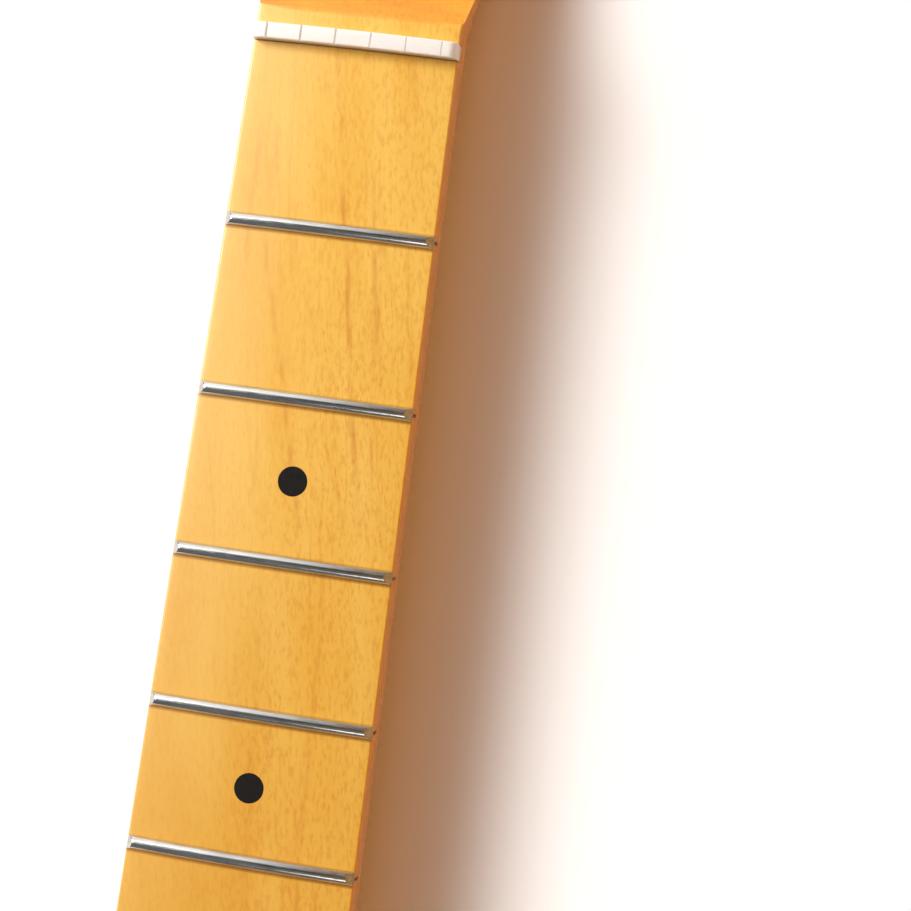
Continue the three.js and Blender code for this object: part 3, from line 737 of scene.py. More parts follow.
def painted_fret_shadow(tree, x, nut_x):
    """How much shadow is painted along the frets' feet: most on the heel side, where the frets
    shade the board.
    """
    scale = bpy.context.scene.neck_sizes.scale
    half = bpy.context.scene.fitting_sizes.fret_width / 2
    # What is left of the scale past the point gives the fret's number, whole at each fret
    rest = add(tree, "Math", x, scale - nut_x)
    octaves = add(tree, "Math", share(tree, rest, 1 / scale), 2.0, operation="LOGARITHM")
    number = share(tree, octaves, -FRETS_PER_OCTAVE)
    past = add(tree, "Math", number, 0.5, -0.5, operation="WRAP")
    # From fret numbers to metres past the nearest fret
    past = share(tree, past, rest, math.log(2) / FRETS_PER_OCTAVE)
    heel_side = share(tree, (past, half + 0.85 * MM, half + 0.2 * MM), (past, -half, half))
    head_side = share(tree, (past, -half - 0.35 * MM, -half, 0.0, 0.4), (past, half, -half))
    return share(tree, add(tree, "Math", heel_side, head_side), (number, 0.4, 0.6))


def mineral_line(tree, start, end, across, drift, width, strength):
    """The bands of one thin wavering line along the board."""
    x, y, _ = add(tree, "SeparateXYZ", add(tree, "TexCoord").outputs["Object"]).outputs
    run = add(tree, "Math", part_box("nut")[0].x - start * MM, x, operation="SUBTRACT")
    line = add(tree, "Math", run, drift, (across - 1.5) * MM, operation="MULTIPLY_ADD")
    waver = grain(tree, (22, 900, 900), 2, (across, start, 0))
    line = add(tree, "Math", waver, 3 * MM, line, operation="MULTIPLY_ADD")
    offset = add(tree, "Math", y, line, operation="SUBTRACT")
    away = add(tree, "Math", offset, operation="ABSOLUTE")
    whole = (end - start) * MM
    fade = whole * 0.2
    patches = grain(tree, (9, 2.5, 900), 2, (start, across, 0))
    return (
        (away, width * MM, 0.0),
        (run, 0.0, fade),
        (run, whole, whole - fade),
        (patches, 0.36, 0.66, 0.15, 1.0),
        strength,
    )


def drilled_maple(tree, finishes):
    """Maple inside a drilled hole, bare, matt and a little burnt: it shows as a dark tan ring."""
    rings = grain(tree, (0.6, 0.6, 0.25), 2)
    tone = lay(tree, finishes.fleck, finishes.streak, (rings, 0.35, 0.7))
    return {"Base_Color": tone, "Roughness": 0.8}


def slot_filler(tree, finishes):
    """Brown lacquer and wood dust in the saw kerfs: dark, dull, uneven."""
    speck = grain(tree, (0.4, 0.4, 0.4), 2)
    tone = lay(tree, finishes.filler, finishes.streak, (speck, 0.4, 0.7), 0.5)
    return {"Base_Color": tone, "Roughness": 0.7, "Specular_IOR_Level": 0.2}


def bleached_bone(tree, finishes):
    """Bleached bone, filed and buffed: near white, soft gloss, with faint pores and file marks."""
    pore = (grain(tree, (0.25, 1.6, 0.25), 2), 0.60, 0.75)
    tone = lay(tree, finishes.bone, finishes.bone_pore, pore, 0.5)
    # Painted shade: the nut's heel-facing face is drawn brown low down, where it faces away from
    # the light
    height = add(tree, "SeparateXYZ", add(tree, "TexCoord").outputs["Object"]).outputs[2]
    facing = add(tree, "SeparateXYZ", add(tree, "NewGeometry").outputs["Normal"]).outputs[0]
    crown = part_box("fingerboard")[1].z
    low_down = (height, crown + 2.3 * MM, crown + 0.9 * MM)
    tone = lay(tree, tone, finishes.nut_face_shade, (facing, -0.3, -0.9), low_down, 0.35)
    # File marks along the nut's arch, drawn 0.15 mm apart where real ones are 0.05 mm
    marks = grain(tree, (0.15, 6, 0.15), 1)
    return {
        "Base_Color": tone,
        "Roughness": 0.3,
        "Coat_Weight": 0.3,
        "Coat_Roughness": 0.12,
        "Subsurface_Weight": 0.4,
        "Subsurface_Scale": 1.2 * MM,
        "Subsurface_Radius": (1.0, 0.8, 0.65),
        "Normal": add(tree, "Bump", Height=marks, Strength=0.2, Distance=0.01 * MM),
    }


def drawn_nickel_silver(tree, finishes):
    """Nickel silver wire, drawn, levelled and polished: bright, faintly warm, finely lined."""
    # Polishing lines along the wire, drawn 0.12 mm apart where real ones are 0.02 mm
    lines = grain(tree, (0.12, 9, 0.12), 2)
    haze = (grain(tree, (1.2, 7, 1.2), 2), 0.4, 0.7)
    return {
        "Base_Color": lay(tree, finishes.nickel, scaled_tone(finishes.nickel, 0.82), haze),
        "Metallic": 1.0,
        "Roughness": share(tree, (lines, 0.3, 0.7, 0.12, 0.24)),
        "Normal": add(tree, "Bump", Height=lines, Strength=0.15, Distance=0.005 * MM),
    }


def black_acetate(tree, finishes):
    """Black cellulose acetate rod, sanded flush and lacquered over: near black, soft gloss."""
    sanding = (grain(tree, (1.5, 0.2, 0.2), 2), 0.4, 0.7)
    tone = lay(tree, finishes.black, scaled_tone(finishes.black, 1.5), sanding)
    return {"Base_Color": tone, "Roughness": 0.35, "Specular_IOR_Level": 0.12}


def turned_steel(tree, finishes):
    """Carbon steel, turned and oiled: grey, with fine rings from the lathe."""
    # Tool rings, drawn 0.3 mm apart where real ones are 0.1 mm
    rings = grain(tree, (0.3, 4, 4), 1)
    oil = (grain(tree, (5, 5, 5), 3), 0.4, 0.7)
    return {
        "Base_Color": lay(tree, finishes.steel, scaled_tone(finishes.steel, 0.7), oil),
        "Metallic": 1.0,
        "Roughness": share(tree, (rings, 0.3, 0.7, 0.28, 0.48)),
        "Normal": add(tree, "Bump", Height=rings, Strength=0.3, Distance=0.02 * MM),
    }


def milled_brass(tree, finishes):
    """Free-cutting brass, milled: yellow, with straight cutter lines."""
    lines = grain(tree, (0.3, 5, 5), 1)
    tarnish = (grain(tree, (4, 4, 4), 3), 0.4, 0.7)
    return {
        "Base_Color": lay(tree, finishes.brass, scaled_tone(finishes.brass, 0.75), tarnish),
        "Metallic": 1.0,
        "Roughness": share(tree, (lines, 0.3, 0.7, 0.25, 0.45)),
    }


def shrunk_sleeve(tree, finishes):
    """Polyolefin tube, shrunk on: dark, satin, faintly wrinkled."""
    wrinkle = grain(tree, (1.2, 3, 3), 2)
    return {
        "Base_Color": lay(tree, finishes.sleeve, scaled_tone(finishes.sleeve, 1.7), wrinkle),
        "Roughness": 0.5,
        "Normal": add(tree, "Bump", Height=wrinkle, Strength=0.3, Distance=0.05 * MM),
    }


def blank_ring(plan, x):
    """One section of the neck blank: round the back from treble to bass, then over the top."""
    low, high = plan.treble_y(x), plan.bass_y(x)
    middle, half = (low + high) / 2, (high - low) / 2
    top, height = plan.top_z(x), plan.top_z(x) - plan.back_z(x)
    edge = plan.neck.heel_edge if x < plan.nut_x else plan.head.edge
    edge = min(edge, half / 3, height / 3)
    upper = plan.face_edge(x)
    square = []
    # The square side's steps pair with the rounded side's, so these shares follow the CAD model
    for step in refine((0, 0.4, 0.75, 1), 6)[:-1]:
        square.append((half, upper + (height - edge - upper) * step))
    for step in refine((0, 1 / 3, 2 / 3, 1), 6)[:-1]:
        turn = step * QUARTER
        square.append((half - edge * (1 - math.cos(turn)), height - edge * (1 - math.sin(turn))))
    for step in refine((0, 0.3, 0.65, 1), 6):
        square.append(((half - edge) * (1 - step), height))
    bends = spread(0, QUARTER, len(square) - 1)
    power = 2 / plan.neck.back_roundness
    mix = plan.squareness(x)
    side = []
    for (y, drop), turn in zip(square, bends):
        round_y = half * max(0, math.cos(turn)) ** power
        round_drop = height * math.sin(turn) ** power
        side.append((round_y + (y - round_y) * mix, round_drop + (drop - round_drop) * mix))
    rim = [(half - upper * (1 - math.cos(turn)), 0) for turn in spread(0, QUARTER, 5)[1:]]
    across = [half - upper - (half - upper) * s for s in spread(0, 1, 10)[1:]]
    over = rim + [(y, 0) for y in across]
    ring = [(middle - y, top - drop) for y, drop in side]
    ring += [(middle + y, top - drop) for y, drop in side[-2::-1]]
    ring += [(middle + y, top - drop) for y, drop in over]
    ring += [(middle - y, top - drop) for y, drop in over[-2::-1]]
    return [Vector((x, y, z)) for y, z in ring]


def refine(shares, count):
    """A row of shares with each gap split into that many equal ones."""
    return [
        a + (b - a) * k / count for a, b in zip(shares[:-1], shares[1:]) for k in range(count)
    ] + [shares[-1]]


def round_ends(plan, rings):
    """Eases the heel's lower edge and the headstock's edges down towards the outline."""
    for ring in rings:
        x = ring[0].x
        near_heel, on_head = x < plan.heel_x + plan.neck.heel_corner, x > plan.glue_line_x
        if not (near_heel or on_head):
            continue
        away = plan.edge_distance(np.array([(p.x, p.y) for p in ring]))
        lower = plan.neck.heel_edge if near_heel else plan.head.edge
        upper = plan.face_edge(x)
        for point, distance in zip(ring, away):
            point.z = max(point.z, plan.back_z(x) + rounding(lower, distance))
            if on_head:
                point.z = min(point.z, plan.top_z(x) - rounding(upper, distance))


def rounding(radius, distance):
    """How far a rounded edge has dropped at a distance in from it."""
    inward = max(0, radius - distance)
    return radius - math.sqrt(max(0, radius**2 - inward**2))


def clean_stations(*groups, gap=2 * HAIR):
    """Places along the neck in order, without near doubles."""
    ordered = sorted(x for group in groups for x in group)
    return [x for i, x in enumerate(ordered) if i == 0 or x - ordered[i - 1] > gap]


def hole_cutter(centre, axis, low, radius, rim, ending, sides=48):
    """A cutter for a round hole with an eased mouth at low; ending gives its other end."""
    mouth = [(low - OVERCUT, radius + rim), (low, radius + rim), (low + rim, radius)]
    return skin("hole", rod_rings(centre, axis, mouth + ending, sides))


def blank_holes(plan):
    """Cutters for the tuner holes, the heel's pilot holes and the adjuster's bore."""
    fit, top = plan.fit, plan.face_z
    radius = plan.head.tuner_hole / 2
    wide = radius + TUNER_RIM
    far_mouth = [(top - TUNER_RIM, radius), (top, wide), (top + OVERCUT, wide)]
    holes = [
        hole_cutter((*plan.tuner(i), 0), UP, plan.head_back_z, radius, TUNER_RIM, far_mouth)
        for i in range(TUNER_COUNT)
    ]
    radius = fit.pilot_hole / 2
    drill_point = [(fit.pilot_depth - radius / 2, radius), (fit.pilot_depth, 2 * HAIR)]
    for x in (-fit.pilot_spacing_x / 2, fit.pilot_spacing_x / 2):
        for y in (-fit.pilot_spacing_y / 2, fit.pilot_spacing_y / 2):
            holes.append(hole_cutter((x, y, 0), UP, 0, radius, HEEL_RIM, drill_point, sides=24))
    low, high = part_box("truss_adjusting_nut")
    mouth = (plan.heel_x, 0, (low.z + high.z) / 2)
    radius = fit.adjuster_bore / 2
    floor = [(high.x + FIT_GAP - plan.heel_x, radius)]
    return [*holes, hole_cutter(mouth, ALONG, 0, radius, HEEL_RIM, floor)]


def rod_channel(plan):
    """A cutter for the channel that holds the truss rod, open to the glue line."""
    low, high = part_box("truss_rod_sleeve")
    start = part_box("truss_adjusting_nut")[1].x
    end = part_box("truss_head_block")[1].x + 2 * FIT_GAP
    return box_piece(
        "channel",
        (start, low.y - FIT_GAP, low.z - FIT_GAP),
        (end, high.y + FIT_GAP, plan.glue_z + OVERCUT),
    )


class NECK_OT_shape_blank(bpy.types.Operator):
    """Shapes the neck blank: heel, shaft and headstock in one piece of maple"""

    bl_idname = "guitar_neck.shape_blank"
    bl_label = "Shape the neck blank"

    def execute(self, context):
        plan = NeckPlan(context)
        finishes = context.scene.neck_finishes
        stations = clean_stations(
            spread(plan.heel_x, plan.heel_x + plan.neck.heel_corner, 20, crowd=True),
            spread(plan.heel_x + plan.neck.heel_corner, plan.flat_end, 3),
            spread(plan.flat_end, plan.shoulder_end, 30),
            spread(plan.shoulder_end, plan.flare_start, 12),
            spread(plan.flare_start, plan.flare_end, 24),
            spread(plan.flare_end, plan.glue_line_x, 12),
            spread(plan.glue_line_x, plan.ramp_end, 28),
            spread(plan.ramp_end, plan.last_tuner_x, 70),
            spread(plan.tip_x, plan.last_tuner_x, 44, crowd=True),
        )
        rings = [blank_ring(plan, x) for x in stations]
        round_ends(plan, rings)
        blank = skin("maple_neck_blank", rings)
        tones = (finishes.blank_light, finishes.blank_deep)
        blank.data.materials.append(
            finished("maple_lacquered_neck", lacquered_maple, finishes, *tones, seed=5.0)
        )
        raw = finished("maple_drilled", drilled_maple, finishes)
        for cutter in (joined("drills", blank_holes(plan)), rod_channel(plan)):
            cutter.data.materials.append(raw)
            carve(blank, cutter)
        hand_over(blank, replaces=["neck_blank"])
        return {"FINISHED"}


def box_piece(name, low, high):
    """A plain block, for cutters."""
    corners = list(itertools.product(*zip(low, high)))
    faces = [(0, 1, 3, 2), (4, 6, 7, 5), (0, 4, 5, 1), (2, 3, 7, 6), (0, 2, 6, 4), (1, 5, 7, 3)]
    return mesh_object(name, corners, faces)


def board_ring(plan, x):
    """One section of the board: flat below, upright sides, rolled edges, cambered top."""
    low, high = plan.treble_y(x), plan.bass_y(x)
    roll = plan.neck.edge_roll
    rim = [roll * (1 - math.cos(turn)) for turn in spread(0, QUARTER, 8)]
    across = [high - inset for inset in rim]
    across += spread(high - roll, low + roll, 32)[1:-1]
    across += [low + inset for inset in rim[::-1]]
    away = [min(high - y, y - low) for y in across]
    if x < plan.heel_x + plan.neck.heel_corner:
        away = plan.edge_distance(np.array([(x, y) for y in across]))
    line = [(low, plan.glue_z), (high, plan.glue_z)]
    line += [(y, plan.camber_z(y) - rounding(roll, inset)) for y, inset in zip(across, away)]
    return [Vector((x, y, z)) for y, z in line]


def front_profile(plan):
    """Side view of what is cut away in front: the nut's seat, the shelf and the ramp."""
    above, end = plan.crown_z + OVERCUT, plan.glue_line_x + 2 * OVERCUT
    seat = plan.crown_z - plan.fit.nut_depth
    # The seat is a little longer than the nut, so that it drops in
    foot, start = plan.fit.nut_foot, plan.nut_x - 12 * HAIR
    back = plan.nut_back_x + 5 * HAIR
    points = [(start, above), *arc(start + foot, seat + foot, foot, 2, 6)]
    points += [(back, seat), (back, plan.shelf_z)]
    points += [(x, plan.ramp_z(x)) for x in spread(plan.ramp_start, end, 24)]
    return [*points, (end, above)]


class NECK_OT_glue_board(bpy.types.Operator):
    """Cambers the fingerboard and saws its slots and pockets"""

    bl_idname = "guitar_neck.glue_board"
    bl_label = "Glue on the fingerboard"

    def execute(self, context):
        plan = NeckPlan(context)
        finishes = context.scene.neck_finishes
        neck = plan.neck
        stations = clean_stations(
            spread(plan.heel_x, plan.heel_x + neck.heel_corner, 24, crowd=True),
            spread(plan.heel_x + neck.heel_corner, plan.nut_x + plan.head.treble_setback, 50),
            spread(plan.nut_x + plan.head.treble_setback, plan.glue_line_x, 12),
        )
        board = skin("maple_fingerboard", [board_ring(plan, x) for x in stations])
        tones = (finishes.board_light, finishes.board_deep)
        board.data.materials.append(
            finished(
                "maple_lacquered_board", lacquered_maple, finishes, *tones,
                seed=1.0, turn=math.radians(9), board=True,
            )
        )
        profile = front_profile(plan)
        far = neck.heel_width
        cutters = [skin("front", [[Vector((x, y, z)) for x, z in profile] for y in (-far, far)])]
        half = plan.fit.saw_kerf / 2
        for node in FRETS:
            x, floor = kerf_floor(plan, node)
            low, high = (x - half, -far, floor), (x + half, far, plan.crown_z + OVERCUT)
            cutters.append(box_piece("kerf", low, high))
        cutters += [inlay(plan, name, HAIR, OVERCUT) for name in MARKS]
        kerfs = joined("cuts", cutters)
        kerfs.data.materials.append(finished("lacquer_dust_filler", slot_filler, finishes))
        carve(board, kerfs)
        keep_cut_colour(plan, board)
        hand_over(board, replaces=["fingerboard"])
        return {"FINISHED"}


def kerf_floor(plan, node):
    """A fret slot's place along the neck, and the height of its floor."""
    low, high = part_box(node)
    x = (low.x + high.x) / 2
    return x, plan.camber_z(plan.half_width(x)) - plan.fit.tang_depth - 2 * FIT_GAP


def keep_cut_colour(plan, board):
    """Leaves the dark finish in kerfs and pockets only; seat, shelf and ramp are lacquered."""
    seat_start = plan.nut_x - 0.5 * MM
    for face in board.data.polygons:
        if face.center.x > seat_start:
            face.material_index = 0


def inlay(plan, name, gap=0.0, proud=0.0):
    """A disc flush in the cambered top or, for a side dot, in the board's bass side.

    The gap makes it wider and deeper, and proud lifts its face, for cutting its pocket.
    """
    low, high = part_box(name)
    middle, radius = (low + high) / 2, (high.x - low.x) / 2 + gap
    on_side = name in SIDE_DOTS

    def point(reach, turn, sunk=False):
        x, away = middle.x + reach * math.cos(turn), reach * math.sin(turn)
        if on_side:
            return Vector((x, low.y - gap if sunk else plan.half_width(x) + proud, middle.z + away))
        y = middle.y + away
        return Vector((x, y, low.z - gap if sunk else plan.camber_z(y) + proud))

    around = turns(32 if on_side else 48)
    # A disc in the arched top needs rings between rim and middle to follow the arch
    steps = (1.0, 0.02) if on_side else (1.0, 0.66, 0.33, 0.02)
    rings = [[point(radius, turn, sunk=True) for turn in around]]
    rings += [[point(radius * step, turn) for turn in around] for step in steps]
    return skin(name, rings)


class NECK_OT_press_frets(bpy.types.Operator):
    """Presses in the frets and fills the ends of their slots"""

    bl_idname = "guitar_neck.press_frets"
    bl_label = "Press in the frets"

    def execute(self, context):
        plan = NeckPlan(context)
        finishes = context.scene.neck_finishes
        wire = finished("nickel_silver_polished", drawn_nickel_silver, finishes)
        fillers = []
        for node in FRETS:
            fret = fret_piece(plan, node)
            hand_over(fret, material=wire, replaces=[node], sharp=32)
            fillers += kerf_ends(plan, node)
        filler = joined("fret_slot_filler", fillers)
        dust = finished("lacquer_dust_filler", slot_filler, finishes)
        hand_over(filler, material=dust)
        return {"FINISHED"}


def fret_piece(plan, node):
    """A fret bent to the camber, its tang shorter than the slot and its ends bevelled."""
    fit = plan.fit
    low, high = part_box(node)
    x, half = (low.x + high.x) / 2, high.y
    width, rise = fit.fret_width, fit.fret_height
    radius = (width**2 / 4 + rise**2) / (2 * rise)
    widest = math.asin(min(1, width / 2 / radius))
    crown = [
        (radius * math.sin(turn), rise - radius + radius * math.cos(turn))
        for turn in spread(-widest, widest, 22)
    ]
    tang = fit.tang_thickness / 2
    foot = [(tang, 0.0), (tang, -fit.tang_depth), (-tang, -fit.tang_depth), (-tang, 0.0)]
    slope = math.tan(fit.fret_bevel)

    def section(side, inset, back):
        """A ring across the board's share of -1 to 1, drawn in by inset and set back."""
        ring = []
        for across, up in crown + foot:
            shrink = 1 - inset / (width / 2)
            across, up = across * shrink, up * shrink if up > 0 else up
            y = (half - back - max(0, up) * slope) * side
            ring.append(Vector((x + across, y, plan.camber_z(y) + up)))
        return ring

    # The soft rim of an end: how far each ring is drawn in, and how far back it stands
    rim = ((2 * FRET_SOFT, 0), (FRET_SOFT, 0), (0.3 * FRET_SOFT, 0.3 * FRET_SOFT))
    # A ring close to each end keeps the crown's shading from bending before the bevel
    sides = [-1, *spread(-0.992, 0.992, 24), 1]
    rings = [section(-1, *step) for step in rim]
    rings += [section(side, 0, FRET_SOFT) for side in sides]
    rings += [section(1, *step) for step in reversed(rim)]
    first_foot = len(crown)
    last_foot = first_foot + len(foot) - 1
    ends = [[*range(first_foot + 1), last_foot], range(first_foot, last_foot + 1)]
    return skin(node + "_wire", rings, ends)


def kerf_ends(plan, node):
    """The two plugs of filler between a fret's tang and the board's sides."""
    x, floor = kerf_floor(plan, node)
    floor += 2 * HAIR
    tang_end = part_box(node)[1].y
    half = plan.fit.saw_kerf / 2 - HAIR
    side, roll = plan.half_width(x) - 3 * HAIR, plan.neck.edge_roll
    plugs = []
    for sign in (-1, 1):
        outline = [(tang_end + HAIR, floor), (side, floor)]
        for turn in spread(0, QUARTER, 6):
            y = side - roll * (1 - math.cos(turn))
            if y > tang_end + 2 * HAIR:
                outline.append((y, plan.camber_z(y) - roll * (1 - math.sin(turn)) - 3 * HAIR))
        outline.append((tang_end + HAIR, outline[-1][1]))
        rings = [[Vector((px, sign * y, z)) for y, z in outline] for px in (x - half, x + half)]
        plugs.append(skin("plug", rings))
    return plugs


class NECK_OT_fit_nut(bpy.types.Operator):
    """Shapes the nut and files its string slots"""

    bl_idname = "guitar_neck.fit_nut"
    bl_label = "Fit the nut"

    def execute(self, context):
        plan = NeckPlan(context)
        fit = plan.fit
        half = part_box("nut")[1].y
        flat = half - fit.nut_end
        end = spread(half, flat, 12, crowd=True)
        between = spread(-flat, flat, 30)[1:-1]
        places = clean_stations([-y for y in end], between, end[:-1], gap=HAIR / 10)
        nut = skin("bone_nut", [nut_ring(plan, y, half) for y in places])
        cutters = []
        for i in range(TUNER_COUNT):
            thinner = i / (TUNER_COUNT - 1)
            y = plan.head.string_spread * (0.5 - thinner)
            width = fit.thick_slot + (fit.thin_slot - fit.thick_slot) * thinner
            depth = fit.thick_depth + (fit.thin_depth - fit.thick_depth) * thinner
            cutters.append(string_slot(plan, y, width / 2, depth))
        carve(nut, joined("files", cutters))
        bone = finished("bone_bleached_buffed", bleached_bone, context.scene.neck_finishes)
        hand_over(nut, material=bone, replaces=["nut"], sharp=40)
        return {"FINISHED"}


def nut_ring(plan, y, half):
    """The nut's section at one place across: eased top edges, a rounded foot on the heel side."""
    fit = plan.fit
    flat = half - fit.nut_end
    inward = max(0, abs(y) - flat)
    top = plan.camber_z(min(abs(y), flat)) + fit.nut_rise
    top -= fit.nut_end - math.sqrt(max(0, fit.nut_end**2 - inward**2))
    floor = plan.crown_z - fit.nut_depth + 3 * HAIR
    # The end faces are eased too
    soft = rounding(NUT_EASE, half - abs(y))
    front, back = plan.nut_x + soft, plan.nut_back_x - soft
    brow = top - soft - NUT_EASE
    ring = [(back, floor)]
    ring += arc(back - NUT_EASE, brow, NUT_EASE, 0, 5)
    ring += arc(front + NUT_EASE, brow, NUT_EASE, 1, 5)
    ring += arc(front + fit.nut_foot, floor + fit.nut_foot, fit.nut_foot, 2, 6)
    return [Vector((x, y, z)) for x, z in ring]


def string_slot(plan, y, half, depth):
    """A cutter for one string slot with a round floor, a little deeper towards the headstock."""
    top = plan.camber_z(y) + plan.fit.nut_rise
    rings = []
    for x, deeper in ((plan.nut_x - OVERCUT, 0), (plan.nut_back_x + OVERCUT, 0.5 * depth)):
        floor = top - depth - deeper + half
        line = [(y - half, top + OVERCUT)]
        line += [
            (y - half * math.cos(turn), floor - half * math.sin(turn))
            for turn in spread(0, math.pi, 10)
        ]
        line.append((y + half, top + OVERCUT))
        rings.append([Vector((x, *point)) for point in line])
    return skin("slot", rings)


class NECK_OT_set_marks(bpy.types.Operator):
    """Sets the position dots and side dots"""

    bl_idname = "guitar_neck.set_marks"
    bl_label = "Set the marks"

    def execute(self, context):
        plan = NeckPlan(context)
        black = finished("acetate_black_lacquered", black_acetate, context.scene.neck_finishes)
        for name in MARKS:
            disc = inlay(plan, name)
            disc.name = name + "_inlay"
            hand_over(disc, material=black, replaces=[name], sharp=40)
        return {"FINISHED"}


class NECK_OT_fit_truss_rod(bpy.types.Operator):
    """Turns the adjusting nut and finishes the rod, bar, blocks and sleeve"""

    bl_idname = "guitar_neck.fit_truss_rod"
    bl_label = "Fit the truss rod"

    def execute(self, context):
        plan = NeckPlan(context)
        finishes = context.scene.neck_finishes
        steel = finished("steel_turned_oiled", turned_steel, finishes)
        brass = finished("brass_milled", milled_brass, finishes)
        sleeve = finished("polyolefin_shrunk", shrunk_sleeve, finishes)
        low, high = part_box("truss_adjusting_nut")
        centre = (low.x, 0, (low.z + high.z) / 2)
        radius, run = (high.z - low.z) / 2, high.x - low.x
        part_way = 0.3 * ADJUSTER_RIM
        rim = ((0, radius - ADJUSTER_RIM), (part_way, radius - part_way), (ADJUSTER_RIM, radius))
        stations = [*rim, *((run - along, size) for along, size in reversed(rim))]
        body = skin("truss_adjuster", rod_rings(centre, ALONG, stations, 48))
        socket = plan.fit.socket_flats / math.sqrt(3)
        rod_low, rod_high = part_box("truss_rod")
        grip = (rod_high.z - rod_low.z) / 2 + FIT_GAP
        start = rod_low.x - low.x - FIT_GAP
        for name, from_x, to_x, size, sides in (
            ("socket", -OVERCUT, plan.fit.socket_depth, socket, 6),
            ("grip", start, run + OVERCUT, grip, 32),
        ):
            stations = [(from_x, size), (to_x, size)]
            carve(body, skin(name, rod_rings(centre, ALONG, stations, sides)))
        hand_over(body, "truss_screw", steel, ["truss_adjusting_nut"], sharp=35)
        for node, material in (
            ("truss_rod", steel),
            ("truss_flat_bar", steel),
            ("truss_heel_block", brass),
            ("truss_head_block", brass),
            ("truss_rod_sleeve", sleeve),
        ):
            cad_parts[node].material_slots[0].material = material
        return {"FINISHED"}


class NECK_OT_set_studio(bpy.types.Operator):
    """Sets the floor, the soft light and the camera"""

    bl_idname = "guitar_neck.set_studio"
    bl_label = "Set the studio"

    def execute(self, context):
        scene = context.scene
        studio, finishes = scene.neck_studio, scene.neck_finishes
        corners = ((-1, -1), (1, -1), (1, 1), (-1, 1))
        floor = mesh_object(
            "studio_floor",
            [(FLOOR_REACH * x, FLOOR_REACH * y, -FLOOR_GAP) for x, y in corners],
            [(0, 1, 2, 3)],
        )
        paper = finished("paper_white_matt", white_paper, finishes, kind="BsdfDiffuse")
        floor.data.materials.append(paper)
        scene.world = softbox_world(studio, finishes)
        lens = bpy.data.cameras.new("studio_camera")
        lens.sensor_width = 36
        lens.lens = studio.lens
        lens.clip_start = CAMERA_NEAR
        camera = placed("studio_camera", lens)
        camera.location = studio.camera_place
        camera.rotation_euler = studio.camera_turn
        scene.camera = camera
        scene.view_settings.view_transform = "Standard"
        return {"FINISHED"}


def white_paper(tree, finishes):
    """White background paper, matt: it lights the neck as paper does, and is seen fully white."""
    path = add(tree, "LightPath").outputs
    seen = add(tree, "Math", path["Is Camera Ray"], path["Is Glossy Ray"])
    seen = add(tree, "Math", seen, path["Is Transmission Ray"], use_clamp=True)
    return {"Color": lay(tree, finishes.paper, finishes.paper_seen, seen)}


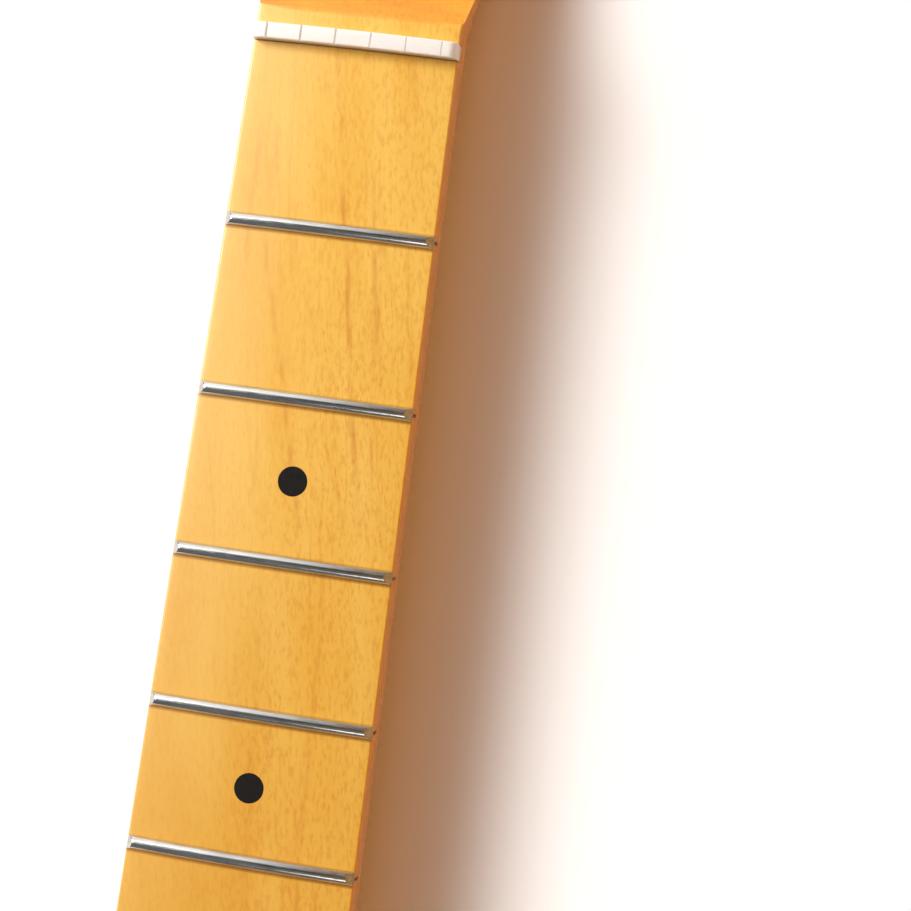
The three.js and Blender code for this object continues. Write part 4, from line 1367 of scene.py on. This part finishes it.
def softbox_world(studio, finishes):
    """A dim room round a tall softbox on the bass side, with a white card past the headstock.

    Directions are unit vectors; lean and ahead are slopes away from straight overhead.
    """
    world = bpy.data.worlds.new("soft_studio")
    world.use_nodes = True
    tree = world.node_tree
    tree.nodes.clear()
    along, across, up = add(tree, "SeparateXYZ", add(tree, "TexCoord").outputs["Generated"]).outputs
    height = add(tree, "Math", up, 0.05, operation="MAXIMUM")
    lean = add(tree, "Math", across, height, operation="DIVIDE")
    ahead = add(tree, "Math", along, height, operation="DIVIDE")
    core = share(tree, (lean, 0.41, 1.36, 0.0, studio.key))
    skirt = share(tree, (lean, 0.15, 0.6, 0.0, studio.skirt))
    edges = ((lean, 2.1, 1.55), (ahead, -0.3, 0.3), (ahead, 1.2, 0.7))
    softbox = share(tree, add(tree, "Math", core, skirt), *edges)
    card = share(
        tree, (along, 0.25, 0.62), (across, 0.02, 0.30, 0.0, studio.card), (across, 0.62, 0.45)
    )
    # A small window low past the heel draws a thin light line on the frets' treble ends
    window_edges = ((along, -0.55, -0.65), (across, 0.13, 0.05), (across, -0.13, -0.05))
    window = share(tree, (along, -0.82, -0.72, 0.0, studio.window), *window_edges)
    glow = add(tree, "Math", add(tree, "Math", softbox, card), window)
    # The room is darkest overhead and past the headstock
    open_room = share(tree, (along, 0.05, -0.25, 0.25, 1.0))
    walls = lay(tree, finishes.room, open_room, 1.0, blend="MULTIPLY")
    walls = lay(tree, walls, finishes.wall, (across, 0.15, -0.25))
    walls = lay(tree, walls, glow, 1.0, blend="ADD")
    # The horizon is white paper, in a higher band for the camera than for what mirrors it
    seen = lay(tree, walls, finishes.paper_seen, (up, 0.03, 0.0))
    camera_ray = add(tree, "LightPath").outputs["Is Camera Ray"]
    seen = lay(tree, seen, finishes.paper_seen, (up, 0.10, 0.04), camera_ray)
    add(tree, "OutputWorld", add(tree, "Background", seen, 1.0))
    return world


STEPS = (
    NECK_OT_shape_blank,
    NECK_OT_glue_board,
    NECK_OT_press_frets,
    NECK_OT_fit_nut,
    NECK_OT_set_marks,
    NECK_OT_fit_truss_rod,
    NECK_OT_set_studio,
)

GROUPS = {
    "neck_sizes": NeckSizes,
    "headstock_sizes": HeadstockSizes,
    "fitting_sizes": FittingSizes,
    "neck_finishes": Finishes,
    "neck_studio": Studio,
}


class NECK_PT_steps(bpy.types.Panel):
    """Lists the steps that build the neck"""

    bl_idname = "NECK_PT_steps"
    bl_label = "Guitar neck"
    bl_space_type = "VIEW_3D"
    bl_region_type = "UI"
    bl_category = "Guitar neck"

    def draw(self, context):
        for step in STEPS:
            self.layout.operator(step.bl_idname)


def register():
    for kind in (*GROUPS.values(), *STEPS, NECK_PT_steps):
        bpy.utils.register_class(kind)
    for name, group in GROUPS.items():
        setattr(bpy.types.Scene, name, bpy.props.PointerProperty(type=group))


def unregister():
    for name in GROUPS:
        delattr(bpy.types.Scene, name)
    for kind in reversed((*GROUPS.values(), *STEPS, NECK_PT_steps)):
        bpy.utils.unregister_class(kind)


def main():
    """Builds the whole scene."""
    register()
    for step in STEPS:
        group, name = step.bl_idname.split(".")
        getattr(getattr(bpy.ops, group), name)()


if __name__ == "__main__":
    main()
